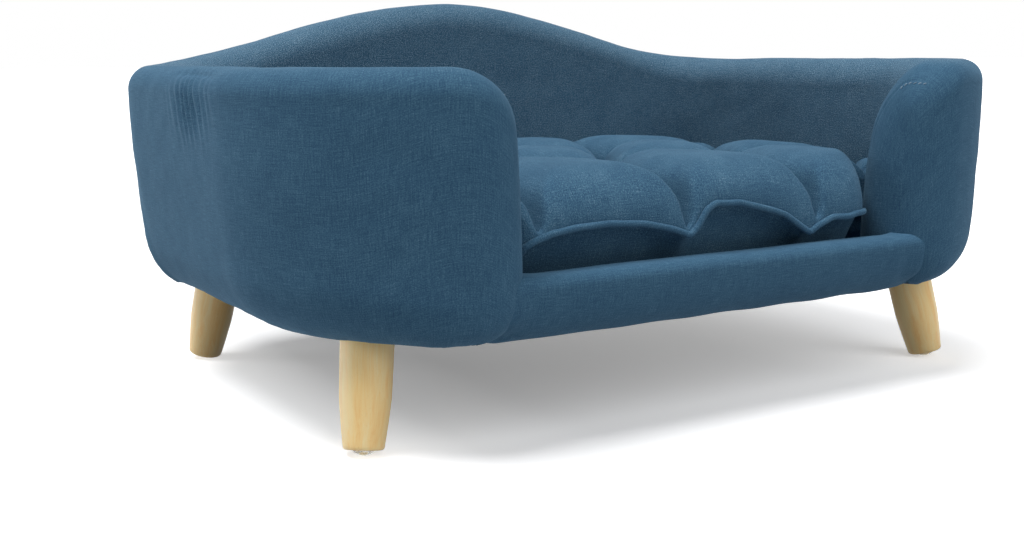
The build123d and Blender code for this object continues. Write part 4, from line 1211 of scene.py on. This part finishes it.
sheets = dict(deckInset=33.6, tongueX=203.6, deckLevel=113.6, dustInset=50.0, dustLevel=81.3, dustSag=1.4)
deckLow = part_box("deck_cloth")[0]
deckOutline = insetPlan(sheets["deckInset"], (sheets["tongueX"], deckLow.y / mm))
deckCloth = clothSheet(
    "deckCloth", deckOutline, sheets["deckLevel"],
    lambda x, y, share: 0.22 * noise.noise(Vector((x * 0.02, y * 0.03, 1.5))), True, stuffs["deck_cloth"])


def dustRipple(x, y, share):
    # it hangs a little between its staples, and is drawn up at each of them
    scallop = 0.25 * math.cos(2 * math.pi * (x if abs(x) < 230 else y) / 50) * share ** 12
    wave = 0.35 * noise.noise(Vector((x * 0.012, y * 0.016, 8.0)))
    return -sheets["dustSag"] * (1 - share ** 3) * (0.8 + wave) - scallop * 0.5


dustOutline = insetPlan(sheets["dustInset"])
dustCover = clothSheet("dustCover", dustOutline, sheets["dustLevel"], dustRipple, False, stuffs["dust_cover"])
print("sheets", len(deckCloth.data.polygons), len(dustCover.data.polygons))


# Repeated small things are spread by one Geometry Nodes tree: staples and stitches
def spreadTree():
    tree = bpy.data.node_groups.new("spreadAlong", "GeometryNodeTree")
    tree.interface.new_socket("Geometry", in_out="INPUT", socket_type="NodeSocketGeometry")
    for label, kind in (("Shape", "Object"), ("Stuff", "Material"), ("Play", "Vector"), ("Seed", "Int")):
        tree.interface.new_socket(label, in_out="INPUT", socket_type="NodeSocket" + kind)
    tree.interface.new_socket("Geometry", in_out="OUTPUT", socket_type="NodeSocketGeometry")
    given = addNode(tree, "NodeGroupInput").outputs
    shape = addNode(tree, "GeometryNodeObjectInfo", {"Object": given["Shape"]}, transform_space="ORIGINAL")
    turn = addNode(tree, "GeometryNodeInputNamedAttribute", {"Name": "turn"}, data_type="FLOAT_VECTOR")
    givenTurn = next(s for s in turn.outputs if s.enabled and s.name == "Attribute")
    less = addNode(tree, "ShaderNodeVectorMath", {
        0: given["Play"], 1: (-1, -1, -1),
    }, operation="MULTIPLY").outputs[0]
    play = addNode(tree, "FunctionNodeRandomValue", {0: less, 1: given["Play"]}, data_type="FLOAT_VECTOR")
    seedSocket = next(s for s in play.inputs if s.name == "Seed")
    tree.links.new(given["Seed"], seedSocket)
    turned = addNode(tree, "ShaderNodeVectorMath", {
        0: givenTurn, 1: play.outputs[0],
    }, operation="ADD").outputs[0]
    rotation = addNode(tree, "FunctionNodeEulerToRotation", {0: turned}).outputs[0]
    spread = addNode(tree, "GeometryNodeInstanceOnPoints", {
        "Points": given["Geometry"], "Instance": shape.outputs["Geometry"], "Rotation": rotation,
    }).outputs[0]
    real = addNode(tree, "GeometryNodeRealizeInstances", {"Geometry": spread}).outputs[0]
    finished = addNode(tree, "GeometryNodeSetMaterial", {
        "Geometry": real, "Material": given["Stuff"],
    }).outputs[0]
    addNode(tree, "NodeGroupOutput", {"Geometry": finished})
    return tree


spreadAlong = spreadTree()


def spread(name, places, turns, shape, material, play, seed):
    piece = newPiece(name, np.asarray(places) * mm, [])
    giveValues(piece, "turn", "FLOAT_VECTOR", turns)
    nodes = piece.modifiers.new("spread", "NODES")
    nodes.node_group = spreadAlong
    values = {"Shape": shape, "Stuff": material, "Play": play, "Seed": seed}
    for item in spreadAlong.interface.items_tree:
        if item.in_out == "INPUT" and item.name in values:
            nodes[item.identifier] = values[item.name]
    applyModifiers(piece)
    bpy.data.objects.remove(shape)
    smooth(piece, material)
    return piece


def islandBoxes(name):
    # the centre and size of each separate solid in a CAD node, in millimetres
    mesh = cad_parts[name].data
    work = bmesh.new()
    work.from_mesh(mesh)
    work.transform(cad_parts[name].matrix_world)
    bmesh.ops.remove_doubles(work, verts=work.verts, dist=1e-5)
    left, boxes = set(work.verts), []
    while left:
        waiting, found = [left.pop()], []
        while waiting:
            vertex = waiting.pop()
            found.append(np.array(vertex.co) / mm)
            for edge in vertex.link_edges:
                other = edge.other_vert(vertex)
                if other in left:
                    left.discard(other)
                    waiting.append(other)
        found = np.array(found)
        boxes.append(((found.min(0) + found.max(0)) / 2, np.ptp(found, axis=0)))
    work.free()
    return boxes


staple = dict(crown=9.6, wire=0.45, leg=4.0, bend=0.9, play=0.04)


def stapleShape():
    half, bend = staple["crown"] / 2, staple["bend"]
    side = [(half, staple["leg"], 0), (half, bend, 0),
            (half - 0.3 * bend, 0.3 * bend, 0), (half - bend, 0, 0)]
    path = np.array([(-x, y, z) for x, y, z in side] + side[::-1], float)
    shape = roundTube("stapleShape", path, staple["wire"], 6, False, stuffs["staple_steel"])
    shape.data.transform(Matrix.Rotation(math.pi / 2, 4, "X"))
    return shape


stapleSpots = islandBoxes("cover_staples")
coverStaples = spread(
    "coverStaples", [centre for centre, _ in stapleSpots],
    [(0, 0, 0 if size[0] > size[1] else math.pi / 2) for _, size in stapleSpots],
    stapleShape(), stuffs["staple_steel"], (0, 0, staple["play"]), 7)
print("staples", len(stapleSpots))

# Slanted stitches beside the seam of each arm's front, where it comes over the top
stitch = dict(length=3.0, radius=0.42, pitch=4.6, beside=3.4, slant=0.6, most=11, fromZ=265.0, play=0.1)


def armSeamPath(side, beside):
    # points beside the arm's end seam, up its inner side and over the top, and the cloth's outward normals
    angles = np.array([wallPlace(d)["angle"] for d in wallDistances])
    columns = np.nonzero((np.sign(wallDistances) == side) & (angles >= 0) & (angles < math.pi / 2))[0]
    columns = columns[np.argsort(angles[columns])]
    both = np.concatenate([innerRows, outerRows[:, 1:26]], axis=1) / mm
    points, normals = [], []
    for j in range(1, both.shape[1] - 1):
        line = both[columns, j]
        target = seamAngle(line[:, 2]) + beside / halfWall
        gap = angles[columns] - target
        k = int(np.argmax(gap > 0))
        if k == 0:
            continue
        share = -gap[k - 1] / (gap[k] - gap[k - 1])
        points.append(line[k - 1] + (line[k] - line[k - 1]) * share)
        normal = np.cross(line[k] - line[k - 1], both[columns[k], j + 1] - both[columns[k], j - 1])
        normal /= np.linalg.norm(normal) + 1e-9
        outward = points[-1][:2] - np.array((side * (armEndX + 12), armEndY + 2))
        normals.append(normal if np.dot(normal[:2], outward) + normal[2] * 5 > 0 else -normal)
    return np.array(points), np.array(normals)


def stitchShape():
    half, radius = stitch["length"] / 2, stitch["radius"]
    spots = np.linspace(-1, 1, 7)
    middle = np.stack([spots * half, np.zeros(7), np.zeros(7)], 1)
    shape = roundTube("stitchShape", middle, radius, 6, False, threadMaterial)
    at = positions(shape)
    thin = np.sqrt(np.clip(1 - (at[:, 0] / (half + 0.12)) ** 4, 0.02, 1))
    at[:, 1] *= thin
    at[:, 2] = at[:, 2] * thin + 0.25 * (1 - (at[:, 0] / half) ** 2)
    movePoints(shape, at)
    return shape


def valueAt(distance, walked, values):
    return np.array([np.interp(distance, walked, values[:, k]) for k in range(3)])


def armStitches():
    places, turns = [], []
    for side in (-1, 1):
        path, normals = armSeamPath(side, stitch["beside"])
        keep = path[:, 2] > stitch["fromZ"]
        keep[int(np.argmax(keep)) + stitch["most"]:] = False
        path, normals = path[keep], normals[keep]
        walked = walkedAlong(path)
        for at in np.arange(2, walked[-1], stitch["pitch"]):
            spot = valueAt(at, walked, path)
            ahead = valueAt(at + 1, walked, path) - spot
            normal = Vector(valueAt(at, walked, normals)).normalized()
            along = Vector(ahead).normalized()
            along.rotate(Matrix.Rotation(side * stitch["slant"], 3, normal))
            across = normal.cross(along).normalized()
            along = across.cross(normal)
            frameOf = Matrix((along, across, normal)).transposed()
            places.append(spot + np.array(normal) * 0.1)
            turns.append(tuple(frameOf.to_euler()))
    return spread("armSeamStitches", places, turns, stitchShape(), threadMaterial, (0, 0, stitch["play"]), 3)


armSeamStitches = armStitches()
print("stitches", len(armSeamStitches.data.polygons))

# The finish of the CAD nodes, by how their names start
bySlot = dict(
    plywood=["arm_board", "arm_front_board", "corner_board", "back_board", "rail_board", "seat_deck"],
    pine=["base_batten"], mount_wood=["leg_mount"], brass_insert=["leg_inserts"], washer_steel=["leg_washer"],
    bolt_steel=["leg_bolt"], screw_steel=["frame_screws"], staple_steel=["cover_staples"],
    deck_cloth=["deck_cloth"], dust_cover=["dust_cover"], glide_plastic=["leg_glide"],
    foam=["arm_end_padding", "arm_inner_padding", "arm_outer_padding", "back_inner_padding",
          "back_outer_padding", "rail_padding"],
    tie_thread=["tuft_ties"],
)
for stuff, names in bySlot.items():
    for node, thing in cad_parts.items():
        if any(node.startswith(name) for name in names):
            thing.data.materials.clear()
            thing.data.materials.append(stuffs[stuff])

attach(outerCover, "root")
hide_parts("outer_cover", "back_outer_padding", "arm_outer_padding_left",
            "arm_outer_padding_right", "arm_end_padding_left", "arm_end_padding_right")
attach(innerCover, "root")
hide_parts("inner_cover", "back_inner_padding", "arm_inner_padding_left",
            "arm_inner_padding_right")
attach(railCover, "root")
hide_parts("rail_cover", "rail_padding")
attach(cushionCase, "cushion")
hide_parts("cushion")
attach(cushionPiping, "cushion")
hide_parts("cushion_piping")
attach(tuftThreads, "cushion")
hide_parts("tuft_ties")
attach(deckCloth, "root")
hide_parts("deck_cloth")
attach(dustCover, "root")
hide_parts("dust_cover")
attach(coverStaples, "root")
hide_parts("cover_staples")
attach(armSeamStitches, "root")
for corner, piece in legs.items():
    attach(piece, "screwed_leg_" + corner)
    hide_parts("leg_" + corner)

# Floor, light and camera
# the last list is the floor's glow to the camera across its width: painted light, strongest at the left
studio = dict(key=2.8, keySoft=34.0, side=0.8, sideSoft=30.0, front=1.25, frontSoft=50.0, ambient=0.12,
              paintedFloorLight=[(0.02, 0.8), (0.1, 0.66), (0.22, 0.32), (0.35, 0.24), (0.7, 0.34), (0.95, 0.5)])


def floorMaterial():
    # matt white painted board: it takes the bed's soft shadow and is white where the light reaches it
    material, tree, shader = newMaterial("studioFloorPaintedMatt")
    place = addNode(tree, "ShaderNodeTexCoord").outputs["Object"]
    grain = addNode(tree, "ShaderNodeTexNoise", {"Vector": place, "Scale": 3.0, "Detail": 2.0}).outputs["Fac"]
    tint = ramp(tree, grain, [(0.3, "#f1f2f3"), (0.7, "#f4f4f5")])
    seen = seenDirectly(tree)
    # paler to the camera than to the light that it sends back up, so that the bed's sides stay deep in tone
    toned = mixColours(tree, seen, colour("#a6a8ab"), tint)
    finishShader(tree, shader, {"Roughness": 0.85, "Specular IOR Level": 0.1}, Base_Color=toned)
    across = addNode(tree, "ShaderNodeSeparateXYZ", {"Vector": place}).outputs["X"]
    # painted light: the floor's glow to the camera is strongest at the left, where light reaches in under the
    # bed, less at the right and least under the bed's middle
    lift = ramp(tree, mapRange(tree, across, (-0.4, 0.4)), studio["paintedFloorLight"])
    share = maths(tree, "MULTIPLY", seen, lift)
    glow = addNode(tree, "ShaderNodeEmission", {"Color": (1, 1, 1, 1), "Strength": share})
    mixed = addNode(tree, "ShaderNodeAddShader", {0: shader.outputs[0], 1: glow.outputs[0]})
    tree.links.new(mixed.outputs[0], tree.nodes["Material Output"].inputs["Surface"])
    return material


floor = newPiece("studioFloor", [(-30, -30, 0), (30, -30, 0), (30, 30, 0), (-30, 30, 0)], [(0, 1, 2, 3)])
floor.data.materials.append(floorMaterial())

world = bpy.data.worlds.new("studio")
bpy.context.scene.world = world
world.use_nodes = True
tree = world.node_tree
strength = mapRange(tree, seenDirectly(tree), toRange=(studio["ambient"], 1.0))
background = tree.nodes["Background"]
background.inputs["Color"].default_value = (1, 1, 1, 1)
tree.links.new(strength, background.inputs["Strength"])


def addSun(name, towards, strength, softness, tone="#ffffff"):
    data = bpy.data.lights.new(name, "SUN")
    data.energy, data.angle = strength, math.radians(softness)
    data.color = colour(tone)[:3]
    lamp = placed(name, data)
    lamp.location = Vector(towards) * 3
    lamp.rotation_euler = (-Vector(towards)).to_track_quat("-Z", "Y").to_euler()


lampPlaces = dict(key=(-0.27, 0.07, 0.95), side=(-0.83, 0.55, 0.12), front=(0.22, -0.72, 0.64))
for lamp, towards in lampPlaces.items():
    addSun(lamp + "Light", towards, studio[lamp], studio[lamp + "Soft"])

view = dict(place=(-0.6955, -1.0721, 0.3025), yaw=30.73, pitch=9.6, roll=-0.5, focalMm=45.65)


def placeCamera():
    data = bpy.data.cameras.new("photoView")
    data.lens, data.sensor_width, data.sensor_fit = view["focalMm"], 36.0, "HORIZONTAL"
    data.clip_start, data.clip_end = 0.05, 80
    camera = placed("photoView", data)
    yaw, pitch, roll = (math.radians(view[k]) for k in ("yaw", "pitch", "roll"))
    forward = Vector((math.sin(yaw) * math.cos(pitch), math.cos(yaw) * math.cos(pitch), -math.sin(pitch)))
    right = forward.cross(Vector((0, 0, 1))).normalized()
    up = right.cross(forward)
    turnedRight = right * math.cos(roll) + up * math.sin(roll)
    turnedUp = up * math.cos(roll) - right * math.sin(roll)
    camera.matrix_world = Matrix((
        (turnedRight.x, turnedUp.x, -forward.x, view["place"][0]),
        (turnedRight.y, turnedUp.y, -forward.y, view["place"][1]),
        (turnedRight.z, turnedUp.z, -forward.z, view["place"][2]),
        (0, 0, 0, 1),
    ))
    bpy.context.scene.camera = camera


placeCamera()
bpy.context.scene.view_settings.view_transform = "Standard"
print("floor, light and camera ready")

bpy.context.view_layer.update()
